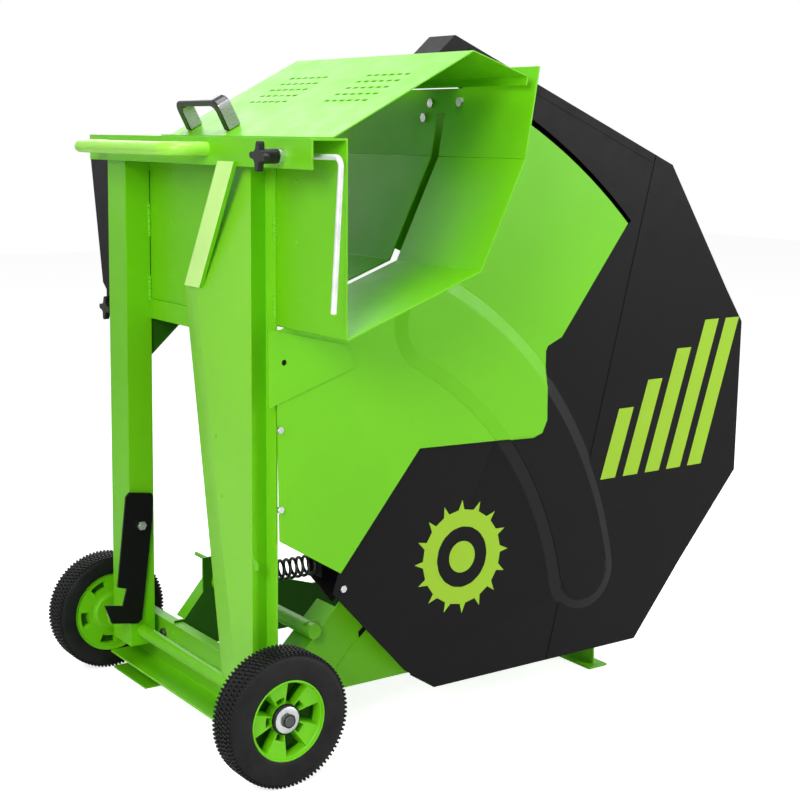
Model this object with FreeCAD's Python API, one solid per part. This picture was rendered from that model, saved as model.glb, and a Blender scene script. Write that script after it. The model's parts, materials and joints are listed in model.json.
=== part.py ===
import FreeCAD, Part
import math
import os

# Firewood circular saw with a tilting log trough, in millimetres.
# It is drawn about the wheel axle, which is also the pivot of the trough: X is the way
# that the trough is pushed, Y runs along the axle away from the front side, Z is up.
# Heights are counted from the axle, and the last step stands the saw on the ground.

# Driving dimensions
swing_r = 1000.0          # reach of the side sheet's top edge from the pivot
wheel_r = 101.5
wheel_w = 54.0
floor_gap = 0.5           # the wheels clear the ground while the saw stands on its feet
track = 620.0             # near wheel's middle to far wheel's middle
axle_r = 8.0
blade_r = 350.0
arbor_x = 520.0
arbor_h = 364.0
sheet = 3.0               # trough and legs
guard_sheet = 2.0         # guard and side sheets
plate = 4.0               # base plates
overrun = 5.0             # how far a cutting tool passes the face that it cuts
running = 0.05            # radial play of a shaft in its bush
slip = 0.4                # play between faces that slide past each other
seat_gap = 0.3            # gap at a loose seat

# Side layers, from the near side to the far side
panel_y = 41.0            # near face of the green side sheet
band_depth = 6.0          # how far the pressed bands stand proud
guard_y = 48.0            # near face of the guard
blade_y = 86.0            # middle of the blade
guard_depth = 70.0        # near face of the guard to its far face

# Trough
trough_near = -140.0
trough_far = 590.0
wall_x = 23.0             # outer face of the trough's front wall
wall_low = 574.0
wall_high = 849.0
floor_end_x = 255.0
floor_end_h = 658.0
back_x = 334.0
back_h = 819.0
back_slope_share = 0.179
back_rise = 106.5         # top edge of the back wall above its fold
wing_rise = 136.0
wing_far = 40.0
lip_x = -32.0             # front face of the top channel
lip_low = 807.0
slot_w = 20.0
slot_wall_rise = 71.0
slot_back_rise = 67.0
back_top = back_h + back_rise
wing_top = back_h + wing_rise
slot_wall_top = wall_low + slot_wall_rise
slot_back_top = back_h + slot_back_rise

# Hood
hood_far = 350.0
hood_foot_x = -14.0
hood_x = 2.0
ridge_x = 238.0
ridge_rise = 155.0        # above the back wall's fold
hood_end_x = 339.0
hood_end_rise = 121.0
ridge_h = back_h + ridge_rise
hood_end_h = back_h + hood_end_rise
hood_lip = 14.0
slot_rows = 5
slot_columns = 6
slot_length = 13.0
slot_width = 4.5
slot_first_x = 101.0
slot_row_step = 18.5
slot_column_step = 20.0
slot_groups = [-66.0, 158.0]

# Near leg, folded from one sheet
leg_x = -12.0             # front face
leg_low = -25.0
leg_shoulder = 610.0
leg_strip_y = 46.5        # near edge of the strip that lies on the trough's wall
leg_near = 62.0
leg_flange_y = 75.0
leg_fold_low = 103.0
leg_edge_low = 167.0
leg_fold_high = 238.0
leg_edge_high = 290.0
leg_facet = 8.0           # how far the outer facet leans back
leg_flange_low = 60.0
leg_top_fold = 118.0
leg_top_edge = 134.0
panel_screw_h = [299.0, 419.0]
panel_screw_r = 5.5
wall_bolts = [(38.0, 85.0), (115.0, 84.0), (128.0, 61.0)]   # place, rise above the fold

# Far leg, a rectangular tube
far_leg_y = 470.0
far_leg_w = 70.0
far_leg_d = 45.0
far_leg_wall = 3.0
far_leg_low = -25.0

# Brace from the lip to the near leg's shoulder
brace_w = 50.0
brace_t = 7.0
brace_top_y = 63.0
brace_foot_y = 213.0
brace_foot_h = 617.0

# Pivot
pivot_tube_r = 11.0
pivot_bore_r = 9.0
pivot_near = 40.0
pivot_far = 548.0
bush_length = 40.0

# Wheels
bead_r = 61.0
rim_web = 4.0
hub_r = 17.0
hub_near = -17.0
hub_far = 24.0
wheel_bush_r = 12.0
pocket_count = 6
pocket_r1 = 24.0
pocket_r2 = 51.0
pocket_share = 0.62
lug_count = 40
lug_depth = 4.0
lug_width = 7.0
lug_length = 13.0
washer_r = 16.0
washer_t = 3.0
axle_nut_r = 11.0
axle_nut_t = 9.0

# Bow handle
bow_r = 10.5
bow_wall = 2.0
bow_reach = 60.0
bow_bend_r = 35.0
bow_near = 160.0
bow_far = 515.0
bow_below = 18.0          # under the top of the trough's wall
bow_h = wall_high - bow_below

# Bridge grip on the hood
grip_near = 171.0
grip_far = 315.0
grip_x = 13.5             # its front edge at the hood's slope
grip_rise = 51.5
grip_w = 23.0
grip_bar = 10.5
grip_foot = 18.0
grip_bend_r = 18.0
grip_inner_r = 12.0

# Stop rod, its collar, guide and clamping knob
stop_r = 4.0
stop_x = -5.0
stop_below = 25.0         # under the top of the trough's wall
stop_h = wall_high - stop_below
stop_near = -176.0
stop_inner = 190.0
stop_drop = 209.0
stop_bend_r = 14.0
stop_lean = 3.3           # degrees that the hanging end leans to the front
stop_ring_r = 6.0
collar_y = 150.0
collar_w = 12.0
collar_r = 9.0
guide_y = -63.0
guide_w = 30.0
guide_h = 22.0
guide_front = 10.0        # the guide's front face before the rod's axis
knob_r = 21.0
knob_t = 9.0
knob_lobes = 4
knob_lobe_r = 4.5
knob_root_r = 7.0
knob_hub_r = 10.5
knob_hub = 22.0
knob_turn = 96.0          # degrees from +Y to the first lobe
knob_stud_r = 4.0
weld_nut_r = 11.0
weld_nut_t = 9.0

# Trough extension at the far end
ext_near = 330.0
ext_far = 723.0
ext_low = 584.0
ext_high = 804.0
ext_toe = 46.0
ext_knob_y = 645.0
ext_knob_h = 541.0
ext_knob_hub = 3.0
ext_lug_w = 34.0

# Gussets under the trough
near_gusset_shares = [(0.003, 0.570), (0.138, 0.537), (0.155, 0.502), (0.004, 0.453)]
gusset_hole_x = 30.0
gusset_hole_h = 519.0
gusset_hole_r = 4.5
far_gusset_y = 475.0
far_gusset_x = 190.0
far_gusset_low = 475.0
beam_near = 102.0
beam_low = 541.0

# Side sheets and guard, as shares of the swing radius from the pivot
panel_low_shares = [(0.023, 0.250), (0.131, 0.184), (0.278, 0.362), (0.504, 0.355),
                    (0.523, 0.361), (0.533, 0.382), (0.533, 0.497), (0.537, 0.505),
                    (0.567, 0.518), (0.638, 0.610), (0.709, 0.701)]
guard_shares = [(0.345, 1.008), (0.820, 0.802), (0.963, 0.576), (1.004, 0.515),
                (0.995, 0.240), (0.859, 0.089), (0.752, -0.036), (0.314, -0.036),
                (0.256, 0.004), (0.121, 0.151)]
guard_rim_corners = 8     # the rim ends at this corner, its lower front edge is open
back_edge_shares = [(0.330, -0.036), (0.290, 0.004), (0.172, 0.128), (0.125, 0.170)]
back_low_shares = [(0.125, 0.228), (0.230, 0.498)]
far_panel_start = 22.6
far_panel_end = 45.8
far_panel_r = 730.0
panel_gap = 4.0           # side sheet to the trough's back wall
panel_edge_x = 17.0       # front edge of the near side sheet
mount_rises = [(9.0, 39.0), (61.0, 89.0)]   # brackets of the side sheets, above the back wall's fold
mount_w = 22.0
far_mount_w = 34.0
mount_seat = 0.06
sweep_r1 = 574.0
sweep_r2 = 705.0
sweep_deg1 = 24.3
sweep_deg2 = 44.7
sweep_deg3 = 45.7
hood_sweep_r = 1012.0
hood_sweep_deg = 17.2
panel_arc_deg1 = 22.7
panel_arc_deg2 = 45.3
band_r = 635.0
band_half = 55.0
panel_band_start = 28.5
panel_band_end = 66.0
guard_band_start = 52.0
guard_band_end = 80.0
rim_lip = 18.0
guard_bolt_low = 160.0

# Blade drive
blade_t = 3.2
tooth_count = 42
tooth_depth = 14.0
tooth_face_share = 0.08
tooth_gullet_share = 0.30
tooth_back_share = 0.80
shaft_r = 15.0
shaft_hole_share = 1.4    # the hole round the shaft in the guard and the motor's plate
flange_r = 55.0
flange_t = 8.0
arbor_nut_r = 22.0
arbor_nut_t = 14.0
motor_r = 80.0
motor_wall = 5.0
motor_length = 210.0
mount_r = 84.0
mount_t = 8.0
shield_t = 14.0
bearing_r = 31.0
bearing_w = 14.0
fin_count = 28
fin_h = 6.0
fin_t = 3.0
stator_bore = 50.0
stator_length = 130.0
rotor_gap = 1.0
fan_r = 62.0
fan_t = 14.0
fan_hub_r = 22.0
fan_blades = 8
cowl_length = 46.0
cowl_slots = 12

# Switch box
box_x = 800.0
box_h = 200.0
box_w = 96.0
box_tall = 120.0
box_depth = 66.0
box_wall = 3.0
start_r = 10.0
start_rise_share = 0.72
stop_rise_share = 0.36
stop_button_r = 14.0
button_stand = 9.0
button_play = 0.5
inlet_r = 26.0
inlet_length = 44.0
inlet_pins = 5
inlet_pin_share = 0.6

# Base
front_x = 37.0            # front channel's web
front_near = 35.0
front_far = 575.0
front_low = -62.0
front_high = 16.0
front_flange = 50.0
front_rib = 20.0
near_rail_y = 118.0
far_rail_y = 430.0
near_rail_shares = [(0.041, -0.032), (0.041, 0.012), (0.101, 0.034), (0.171, 0.104),
                    (0.186, 0.118), (0.300, 0.118), (0.420, 0.048), (0.760, 0.048),
                    (0.760, -0.032)]
near_flange_shares = [(0.101, 0.034), (0.171, 0.104)]
near_flange_w = 58.0
far_rail_shares = [(0.041, -0.032), (0.041, 0.020), (0.060, 0.020), (0.096, 0.062),
                   (0.096, 0.122), (0.125, 0.122), (0.241, 0.065), (0.317, 0.041),
                   (0.760, 0.041), (0.760, -0.032)]
far_flange_shares = [(0.060, 0.020), (0.115, 0.084)]
far_flange_w = 30.0
cross_tube_r = 12.5
cross_tube_wall = 2.5
cross_tube_x = 124.3
cross_tube_h = 75.2
cross_tube_near = 106.0
rear_x = 702.0
rear_w = 40.0
rear_low = -32.0
foot_w = 42.0
foot_l = 130.0
rear_near_foot_y = 108.0
rear_far_foot_y = 330.0
front_near_foot_y = 50.0
front_far_foot_y = 461.0
bracket_t = 6.0
bracket_near_y = 31.0
bracket_far_y = 562.0
bracket_r = 22.0
pin_x = 107.6
pin_h = 117.0
pin_r = 3.6
pin_length = 44.0

# Spring and its bracket
spring_y = 97.0
spring_h = 188.0
spring_r = 15.0
spring_wire_r = 2.0
spring_turns = 11.5
spring_end_x = 118.0
spring_lead = 9.0
quarters_per_turn = 4
bracket_web_t = 6.0
bracket_gap = 6.0         # the bracket's web to the guard's far face
bracket_shares = [(0.118, 0.203), (0.150, 0.203), (0.176, 0.134), (0.156, 0.118), (0.118, 0.166)]

# Latch hook
hook_y = 463.0
hook_t = 5.0
hook_x = -4.0
hook_h = 187.0
hook_points = [(-31.0, 239.0), (-25.0, 246.0), (16.0, 240.0), (19.0, 235.0), (17.0, 193.0),
               (-4.0, 22.0), (-12.0, 16.0), (-59.0, 24.0), (-72.0, 57.0), (-39.0, 51.0),
               (-31.0, 80.0), (-48.0, 85.0)]
hook_bolt_r = 8.0
hook_shank_r = 4.4

# Bolts
bolt_head_r = 8.0
bolt_head_t = 6.0
guard_bolt_r = 6.4
guard_bolt_t = 4.2
guard_bolt_shares = [0.25, 0.75]
guard_bolt_edge = 125.0   # shorter edges of the guard have no bolts
channel_bolts = [(538.0, 22.0), (461.0, 54.0), (150.0, 54.0)]   # place, rise above the channel's foot
corner_bolt_shares = (0.139, 0.157)
corner_bolt_r = 6.0
corner_bolt_t = 3.6

floor_h = -(wheel_r + floor_gap)
far_y = guard_y + guard_depth


def outline(points, place):
    # A closed wire through points; an item ("arc", middle, end) bends to its end.
    edges = []
    first = points[0]
    here = place(*first)
    for item in points[1:] + [first]:
        if item[0] == "arc":
            end = place(*item[2])
            edges.append(Part.Arc(here, place(*item[1]), end).toShape())
        else:
            end = place(*item)
            if here.distanceToPoint(end) > 0:
                edges.append(Part.LineSegment(here, end).toShape())
        here = end
    return Part.Wire(edges)


def grown(face, push):
    solid = face.extrude(push)
    if solid.Volume < 0:
        solid.reverse()
    return solid


def prism_y(points, y0, y1):
    wire = outline(points, lambda x, z: FreeCAD.Vector(x, y0, z))
    return grown(Part.Face(wire), FreeCAD.Vector(0, y1 - y0, 0))


def prism_x(points, x0, x1):
    wire = outline(points, lambda y, z: FreeCAD.Vector(x0, y, z))
    return grown(Part.Face(wire), FreeCAD.Vector(x1 - x0, 0, 0))


def box(x0, x1, y0, y1, z0, z1):
    return Part.makeBox(x1 - x0, y1 - y0, z1 - z0, FreeCAD.Vector(x0, y0, z0))


def bar_y(x, z, r, y0, y1):
    return Part.makeCylinder(r, y1 - y0, FreeCAD.Vector(x, y0, z), FreeCAD.Vector(0, 1, 0))


def tube_y(x, z, r, bore, y0, y1):
    return bar_y(x, z, r, y0, y1).cut(bar_y(x, z, bore, y0 - overrun, y1 + overrun))


def bar_x(y, z, r, x0, x1):
    return Part.makeCylinder(r, x1 - x0, FreeCAD.Vector(x0, y, z), FreeCAD.Vector(1, 0, 0))


def hexagon(middle, r, push):
    # A hexagonal head or nut with r across its corners, grown along push.
    if push.y:
        side, up = FreeCAD.Vector(1, 0, 0), FreeCAD.Vector(0, 0, 1)
    else:
        side, up = FreeCAD.Vector(0, 1, 0), FreeCAD.Vector(0, 0, 1)
    corners = []
    for corner in range(6):
        turn = math.radians(60 * corner)
        corners.append(middle + side * (r * math.cos(turn)) + up * (r * math.sin(turn)))
    corners.append(corners[0])
    return grown(Part.Face(Part.makePolygon(corners)), push)


def polar(r, degrees):
    # A point at a distance from the pivot and an angle from straight up towards +X.
    turn = math.radians(degrees)
    return (r * math.sin(turn), r * math.cos(turn))


def scaled(shares):
    return [(x * swing_r, z * swing_r) for x, z in shares]


def folded(points, thickness):
    # The outline of a sheet along an open line; the sheet lies to the right of the line.
    sides = []
    for (x0, y0), (x1, y1) in zip(points, points[1:]):
        length = math.hypot(x1 - x0, y1 - y0)
        sides.append(((y1 - y0) / length, -(x1 - x0) / length))
    inner = []
    for index, (x, y) in enumerate(points):
        before = sides[max(index - 1, 0)]
        after = sides[min(index, len(sides) - 1)]
        across = 1 + before[0] * after[0] + before[1] * after[1]
        inner.append((x + thickness * (before[0] + after[0]) / across,
                      y + thickness * (before[1] + after[1]) / across))
    return list(points) + inner[::-1]


def fused(shapes):
    return shapes[0].multiFuse(shapes[1:]).removeSplitter()


def loft(lower, upper):
    return Part.makeLoft([lower, upper], True, True)


def swept(path, r):
    # A round bar along a wire that starts square to its profile.
    first = path.OrderedEdges[0]
    start = first.firstVertex().Point
    if start.distanceToPoint(path.OrderedVertexes[0].Point) > running:
        start = first.lastVertex().Point
        ahead = first.tangentAt(first.LastParameter) * -1
    else:
        ahead = first.tangentAt(first.FirstParameter)
    profile = Part.Wire([Part.Circle(start, ahead, r).toShape()])
    return path.makePipeShell([profile], True, False)


def wall_at(height):
    # The inner face of the trough's back wall.
    return back_x + back_slope_share * (height - back_h)


def make_front_wall():
    line = [(lip_x, lip_low), (lip_x, wall_high), (wall_x + sheet, wall_high),
            (wall_x + sheet, wall_low)]
    wall = prism_y(folded(line, sheet), trough_near, trough_far)
    slot = box(wall_x - overrun, wall_x + sheet + overrun, blade_y - slot_w / 2,
               blade_y + slot_w / 2, wall_low - overrun, slot_wall_top)
    stud = bar_x(guide_y, stop_h, knob_stud_r + slip, lip_x - overrun, lip_x + sheet + overrun)
    return wall.cut(slot).cut(stud)


def make_trough_floor():
    start = (wall_x + sheet, wall_low)
    line = [start, (floor_end_x, floor_end_h), (back_x, back_h)]
    floor = prism_y(folded(line, sheet), trough_near, trough_far)
    slot = box(wall_x + sheet - overrun, back_x + overrun, blade_y - slot_w / 2,
               blade_y + slot_w / 2, wall_low - overrun, back_h + overrun)
    return floor.cut(slot)


def make_back_wall():
    solids = []
    for y0, y1, top in [(trough_near, wing_far, wing_top), (wing_far, trough_far, back_top)]:
        line = [(back_x, back_h), (wall_at(top), top)]
        solids.append(prism_y(folded(line, sheet), y0, y1))
    wall = fused(solids)
    slot = box(back_x - overrun, wall_at(wing_top) + overrun, blade_y - slot_w / 2,
               blade_y + slot_w / 2, back_h - overrun, slot_back_top)
    return wall.cut(slot)


def make_hood():
    foot_h = wall_high + guard_sheet
    line = [(hood_foot_x, foot_h), (hood_x, foot_h),
            (ridge_x, ridge_h), (hood_end_x, hood_end_h),
            (hood_end_x - back_slope_share * hood_lip, hood_end_h - hood_lip)]
    hood = prism_y(folded(line, guard_sheet), trough_near, hood_far)
    run = ridge_x - hood_x
    rise = ridge_h - foot_h
    slots = []
    for first_y in slot_groups:
        for row in range(slot_rows):
            x = slot_first_x + row * slot_row_step
            h = foot_h + rise * (x - hood_x) / run
            for column in range(slot_columns):
                y = first_y + column * slot_column_step
                slots.append(box(x - slot_width / 2, x + slot_width / 2, y - slot_length / 2,
                                 y + slot_length / 2, h - overrun * 2, h + overrun * 2))
    return hood.cut(Part.makeCompound(slots))


def leg_section(h, fold, edge):
    line = [(wall_x - sheet, leg_strip_y), (wall_x - sheet, leg_flange_y), (leg_x, leg_near),
            (leg_x, fold), (leg_x + leg_facet, edge)]
    points = folded(line, sheet)
    return outline(points, lambda x, y: FreeCAD.Vector(x, y, h))


def make_near_leg():
    low = leg_section(leg_low, leg_fold_low, leg_edge_low)
    middle = leg_section(leg_shoulder, leg_fold_high, leg_edge_high)
    top = leg_section(lip_low, leg_top_fold, leg_top_edge)
    leg = fused([loft(low, middle), loft(middle, top)])
    near = leg_strip_y - overrun
    flange = box(wall_x - sheet - running, wall_x + sheet, near, leg_flange_y - sheet,
                 leg_low - overrun, leg_flange_low)
    wall = box(wall_x, wall_x + overrun, near, leg_edge_high, wall_low - overrun, lip_low + overrun)
    pivot = bar_y(0, 0, pivot_tube_r, pivot_near - overrun, leg_edge_high)
    return leg.cut(flange).cut(wall).cut(pivot)


def make_far_leg():
    x0 = wall_x - far_leg_d
    outer = box(x0, wall_x, far_leg_y, far_leg_y + far_leg_w, far_leg_low, wall_high - sheet)
    inner = box(x0 + far_leg_wall, wall_x - far_leg_wall, far_leg_y + far_leg_wall,
                far_leg_y + far_leg_w - far_leg_wall, far_leg_low - overrun,
                wall_high - sheet - far_leg_wall)
    pivot = bar_y(0, 0, pivot_tube_r, far_leg_y - overrun, far_leg_y + far_leg_w + overrun)
    return outer.cut(inner).cut(pivot)


def make_brace():
    # It leans from the lip's face down and back to the near leg's shoulder.
    top = outline([(lip_x - brace_t, brace_top_y), (lip_x, brace_top_y),
                   (lip_x, brace_top_y + brace_w), (lip_x - brace_t, brace_top_y + brace_w)],
                  lambda x, y: FreeCAD.Vector(x, y, lip_low + brace_t))
    foot_x = leg_x - brace_t
    foot = outline([(foot_x, brace_foot_y), (leg_x, brace_foot_y),
                    (leg_x, brace_foot_y + brace_w), (foot_x, brace_foot_y + brace_w)],
                   lambda x, y: FreeCAD.Vector(x, y, brace_foot_h))
    beside = box(lip_x, leg_x, brace_top_y - overrun, brace_foot_y, lip_low, wall_high)
    return loft(foot, top).cut(beside)


def make_beam():
    # The cross member between the legs, under the trough's front wall.
    web = box(wall_x - far_leg_wall, wall_x, beam_near, far_leg_y, beam_low, wall_low)
    foot = box(wall_x, wall_x + sheet, beam_near, far_leg_y, beam_low, wall_low)
    return fused([web, foot])


def make_near_gusset():
    shape = prism_y(scaled(near_gusset_shares), panel_y - sheet, panel_y)
    return shape.cut(bar_y(gusset_hole_x, gusset_hole_h, gusset_hole_r, 0, guard_y))


def make_far_gusset():
    rise = (floor_end_h - wall_low) / (floor_end_x - wall_x - sheet)
    inset = wall_x + sheet
    top = wall_low - sheet * 2
    points = [(wall_x, far_gusset_low), (far_gusset_x, top + rise * (far_gusset_x - inset)),
              (inset, top), (wall_x, top)]
    return prism_y(points, far_gusset_y, far_gusset_y + sheet)


def make_pivot_tube():
    return tube_y(0, 0, pivot_tube_r, pivot_bore_r, pivot_near, pivot_far)


def make_pivot_bushes():
    near = tube_y(0, 0, pivot_bore_r, axle_r + running, pivot_near, pivot_near + bush_length)
    far = tube_y(0, 0, pivot_bore_r, axle_r + running, pivot_far - bush_length, pivot_far)
    return Part.makeCompound([near, far])


def bow_path():
    x0 = lip_x - bow_reach
    near_in = FreeCAD.Vector(lip_x, bow_near, bow_h)
    far_in = FreeCAD.Vector(lip_x, bow_far, bow_h)
    bend = bow_bend_r * (1 - math.sqrt(0.5))
    edges = [Part.LineSegment(near_in, FreeCAD.Vector(x0 + bow_bend_r, bow_near, bow_h)),
             Part.Arc(FreeCAD.Vector(x0 + bow_bend_r, bow_near, bow_h),
                      FreeCAD.Vector(x0 + bend, bow_near + bend, bow_h),
                      FreeCAD.Vector(x0, bow_near + bow_bend_r, bow_h)),
             Part.LineSegment(FreeCAD.Vector(x0, bow_near + bow_bend_r, bow_h),
                              FreeCAD.Vector(x0, bow_far - bow_bend_r, bow_h)),
             Part.Arc(FreeCAD.Vector(x0, bow_far - bow_bend_r, bow_h),
                      FreeCAD.Vector(x0 + bend, bow_far - bend, bow_h),
                      FreeCAD.Vector(x0 + bow_bend_r, bow_far, bow_h)),
             Part.LineSegment(FreeCAD.Vector(x0 + bow_bend_r, bow_far, bow_h), far_in)]
    return Part.Wire([edge.toShape() for edge in edges])


def make_bow_handle():
    return swept(bow_path(), bow_r).cut(swept(bow_path(), bow_r - bow_wall))


def make_grip():
    # It stands square on the hood's front slope, so it is drawn upright and then leant back.
    foot_h = wall_high + guard_sheet
    slope = math.atan2(ridge_h - foot_h, ridge_x - hood_x)
    soft = 1 - math.sqrt(0.5)
    near, far, top = grip_near, grip_far, grip_rise
    bend = grip_bend_r
    inside_near = grip_near + grip_foot
    inside_far = grip_far - grip_foot
    under = top - grip_bar
    turn = grip_inner_r
    points = [(near, 0), (near, top - bend),
              ("arc", (near + bend * soft, top - bend * soft), (near + bend, top)),
              (far - bend, top),
              ("arc", (far - bend * soft, top - bend * soft), (far, top - bend)),
              (far, 0), (inside_far, 0), (inside_far, under - turn),
              ("arc", (inside_far - turn * soft, under - turn * soft), (inside_far - turn, under)),
              (inside_near + turn, under),
              ("arc", (inside_near + turn * soft, under - turn * soft), (inside_near, under - turn)),
              (inside_near, 0)]
    grip = prism_x(points, 0, grip_w)
    grip.rotate(FreeCAD.Vector(), FreeCAD.Vector(0, 1, 0), -math.degrees(slope))
    grip.translate(FreeCAD.Vector(grip_x, 0, foot_h + (grip_x - hood_x) * math.tan(slope)))
    return grip


def make_rocker_bolts():
    solids = []
    for y, rise in wall_bolts:
        h = back_h + rise
        middle = FreeCAD.Vector(wall_at(h) - bolt_head_t + back_slope_share * bolt_head_r, y, h)
        head = hexagon(middle, bolt_head_r, FreeCAD.Vector(bolt_head_t, 0, 0))
        solids.append(head.cut(make_back_wall()))
    for h in panel_screw_h:
        middle = FreeCAD.Vector(panel_edge_x + panel_screw_r, panel_y - bolt_head_t, h)
        solids.append(hexagon(middle, panel_screw_r, FreeCAD.Vector(0, bolt_head_t, 0)))
    return Part.makeCompound(solids)


def knob_shape(y, h, neck, hub, stud_x):
    # A star knob about an axis along X, its hub that ends at the neck, and the stud it turns.
    x1 = neck - hub
    x0 = x1 - knob_t
    reach = knob_r - knob_lobe_r
    solids = [bar_x(y, h, knob_hub_r, x0, neck)]
    for lobe in range(knob_lobes):
        turn = math.radians(knob_turn) + 2 * math.pi * lobe / knob_lobes
        ahead = (math.cos(turn), math.sin(turn))
        tip = (y + reach * ahead[0], h + reach * ahead[1])
        solids.append(bar_x(tip[0], tip[1], knob_lobe_r, x0, x1))
        root = [(y - way * knob_root_r * ahead[1], h + way * knob_root_r * ahead[0]) for way in (1, -1)]
        end = [(tip[0] - way * knob_lobe_r * ahead[1], tip[1] + way * knob_lobe_r * ahead[0])
               for way in (1, -1)]
        solids.append(prism_x([root[0], end[0], end[1], root[1]], x0, x1))
    solids.append(bar_x(y, h, knob_stud_r, neck, stud_x))
    return fused(solids)


def make_stop_knob():
    neck = lip_x - weld_nut_t - seat_gap
    return knob_shape(guide_y, stop_h, neck, knob_hub, stop_x - stop_r - slip * 2)


def make_stop_nut():
    nut = bar_x(guide_y, stop_h, weld_nut_r, lip_x - weld_nut_t, lip_x)
    return nut.cut(bar_x(guide_y, stop_h, knob_stud_r + running, lip_x - overrun * 3, lip_x + overrun))


def make_stop_guide():
    # The rod slides through this block, which hangs under the channel's top.
    block = box(stop_x - guide_front, stop_x + guide_h / 2, guide_y - guide_w / 2,
                guide_y + guide_w / 2, stop_h - guide_h / 2, wall_high - sheet)
    rod = bar_y(stop_x, stop_h, stop_r + running, guide_y - guide_w, guide_y + guide_w)
    stud = bar_x(guide_y, stop_h, knob_stud_r + running, lip_x, stop_x)
    return block.cut(rod).cut(stud)


def make_stop_rod():
    bend = stop_bend_r * (1 - math.sqrt(0.5))
    y0 = stop_near + stop_r
    a = FreeCAD.Vector(stop_x, stop_inner, stop_h)
    b = FreeCAD.Vector(stop_x, y0 + stop_bend_r, stop_h)
    m = FreeCAD.Vector(stop_x, y0 + bend, stop_h - bend)
    c = FreeCAD.Vector(stop_x, y0, stop_h - stop_bend_r)
    d = FreeCAD.Vector(stop_x, y0, stop_h - stop_drop)
    path = Part.Wire([Part.LineSegment(a, b).toShape(), Part.Arc(b, m, c).toShape(),
                      Part.LineSegment(c, d).toShape()])
    rod = swept(path, stop_r)
    # Two rings locate the collar between them.
    for y in [collar_y - slip - stop_r, collar_y + collar_w + slip]:
        rod = rod.fuse(bar_y(stop_x, stop_h, stop_ring_r, y, y + stop_r))
    rod.rotate(a, FreeCAD.Vector(0, 1, 0), stop_lean)
    return rod


def make_stop_collar():
    return tube_y(stop_x, stop_h, collar_r, stop_r + running, collar_y, collar_y + collar_w)


def make_extension():
    x0 = wall_x + sheet + slip
    lug = ext_lug_w / 2
    points = [(ext_near, ext_low), (ext_near, ext_high), (ext_far, ext_high),
              (ext_far - ext_toe, ext_low), (ext_knob_y + lug, ext_low - sheet * 4),
              (ext_knob_y + lug, ext_knob_h - lug), (ext_knob_y - lug, ext_knob_h - lug),
              (ext_knob_y - lug, ext_low)]
    side = prism_x(points, x0, x0 + sheet)
    stud = bar_x(ext_knob_y, ext_knob_h, knob_stud_r + running, x0 - overrun, x0 + overrun * 2)
    return side.cut(stud)


def make_extension_knob():
    x1 = wall_x + sheet + slip
    return knob_shape(ext_knob_y, ext_knob_h, x1 - seat_gap, ext_knob_hub, x1 + sheet + overrun)


def band_outline(r0, r1, start, end, rounded_start, rounded_end):
    # A band about the pivot between two radii, with half round or square ends.
    middle = (start + end) / 2
    cap = math.degrees((r1 - r0) / (r0 + r1))
    points = [polar(r0, start), ("arc", polar(r0, middle), polar(r0, end))]
    if rounded_end:
        points.append(("arc", polar((r0 + r1) / 2, end + cap), polar(r1, end)))
    else:
        points.append(polar(r1, end))
    points.append(("arc", polar(r1, middle), polar(r1, start)))
    if rounded_start:
        points.append(("arc", polar((r0 + r1) / 2, start - cap), polar(r0, start)))
    return points


def pressed(flat, face_y, half, start, end, limit):
    # Raises a band from a flat sheet whose near face is at face_y.
    closed = limit is None
    r0 = band_r - half
    r1 = band_r + half
    outer = prism_y(band_outline(r0, r1, start, end, True, closed), face_y - band_depth,
                    face_y + guard_sheet)
    inner = prism_y(band_outline(r0 + guard_sheet, r1 - guard_sheet, start, end, True, closed),
                    face_y - band_depth + guard_sheet, face_y + guard_sheet)
    if limit is not None:
        outer = outer.common(limit)
    return flat.fuse(outer).cut(inner).removeSplitter()


def panel_points():
    arc_end = polar(swing_r, panel_arc_deg1)
    points = scaled(panel_low_shares)
    points[-1] = polar(swing_r, panel_arc_deg2)
    middle = (panel_arc_deg1 + panel_arc_deg2) / 2
    points.append(("arc", polar(swing_r, middle), arc_end))
    skin = sheet + panel_gap
    points.append((wall_at(arc_end[1]) + skin, arc_end[1] - skin))
    points.append((back_x + skin, back_h))
    points.append((floor_end_x + skin, floor_end_h - sheet))
    points.append((wall_x + sheet, wall_low - sheet * 2))
    points.append((panel_edge_x, wall_low - sheet * 2))
    return points


def make_near_panel():
    points = panel_points()
    flat = prism_y(points, panel_y, panel_y + guard_sheet)
    limit = prism_y(points, panel_y - band_depth, panel_y + guard_sheet)
    return pressed(flat, panel_y, band_half, panel_band_start, panel_band_end, limit)


def mount_outline(rises, width):
    # A bracket's outline, from the back of the trough's back wall.
    low, high = (back_h + rise for rise in rises)
    start = sheet + mount_seat
    return [(wall_at(low) + start, low), (wall_at(high) + start, high),
            (wall_at(high) + start + width, high), (wall_at(low) + start + width, low)]


def make_panel_mounts():
    # Angle brackets that screw the near side sheet to the trough's back wall.
    y0 = panel_y + guard_sheet
    solids = [prism_y(mount_outline(rises, mount_w), y0, y0 + guard_sheet) for rises in mount_rises]
    return Part.makeCompound(solids)


def guard_outline(back):
    points = scaled(guard_shares)
    if back:
        open_corners = len(guard_shares) - guard_rim_corners + 1
        points = points[:-open_corners] + scaled(back_edge_shares + back_low_shares)
    points.append(polar(sweep_r1, sweep_deg1))
    points.append(polar(sweep_r2, sweep_deg2))
    points.append(polar(hood_sweep_r, sweep_deg3))
    middle = (sweep_deg3 + hood_sweep_deg) / 2
    points.append(("arc", polar(hood_sweep_r, middle), polar(hood_sweep_r, hood_sweep_deg)))
    return points


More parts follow.
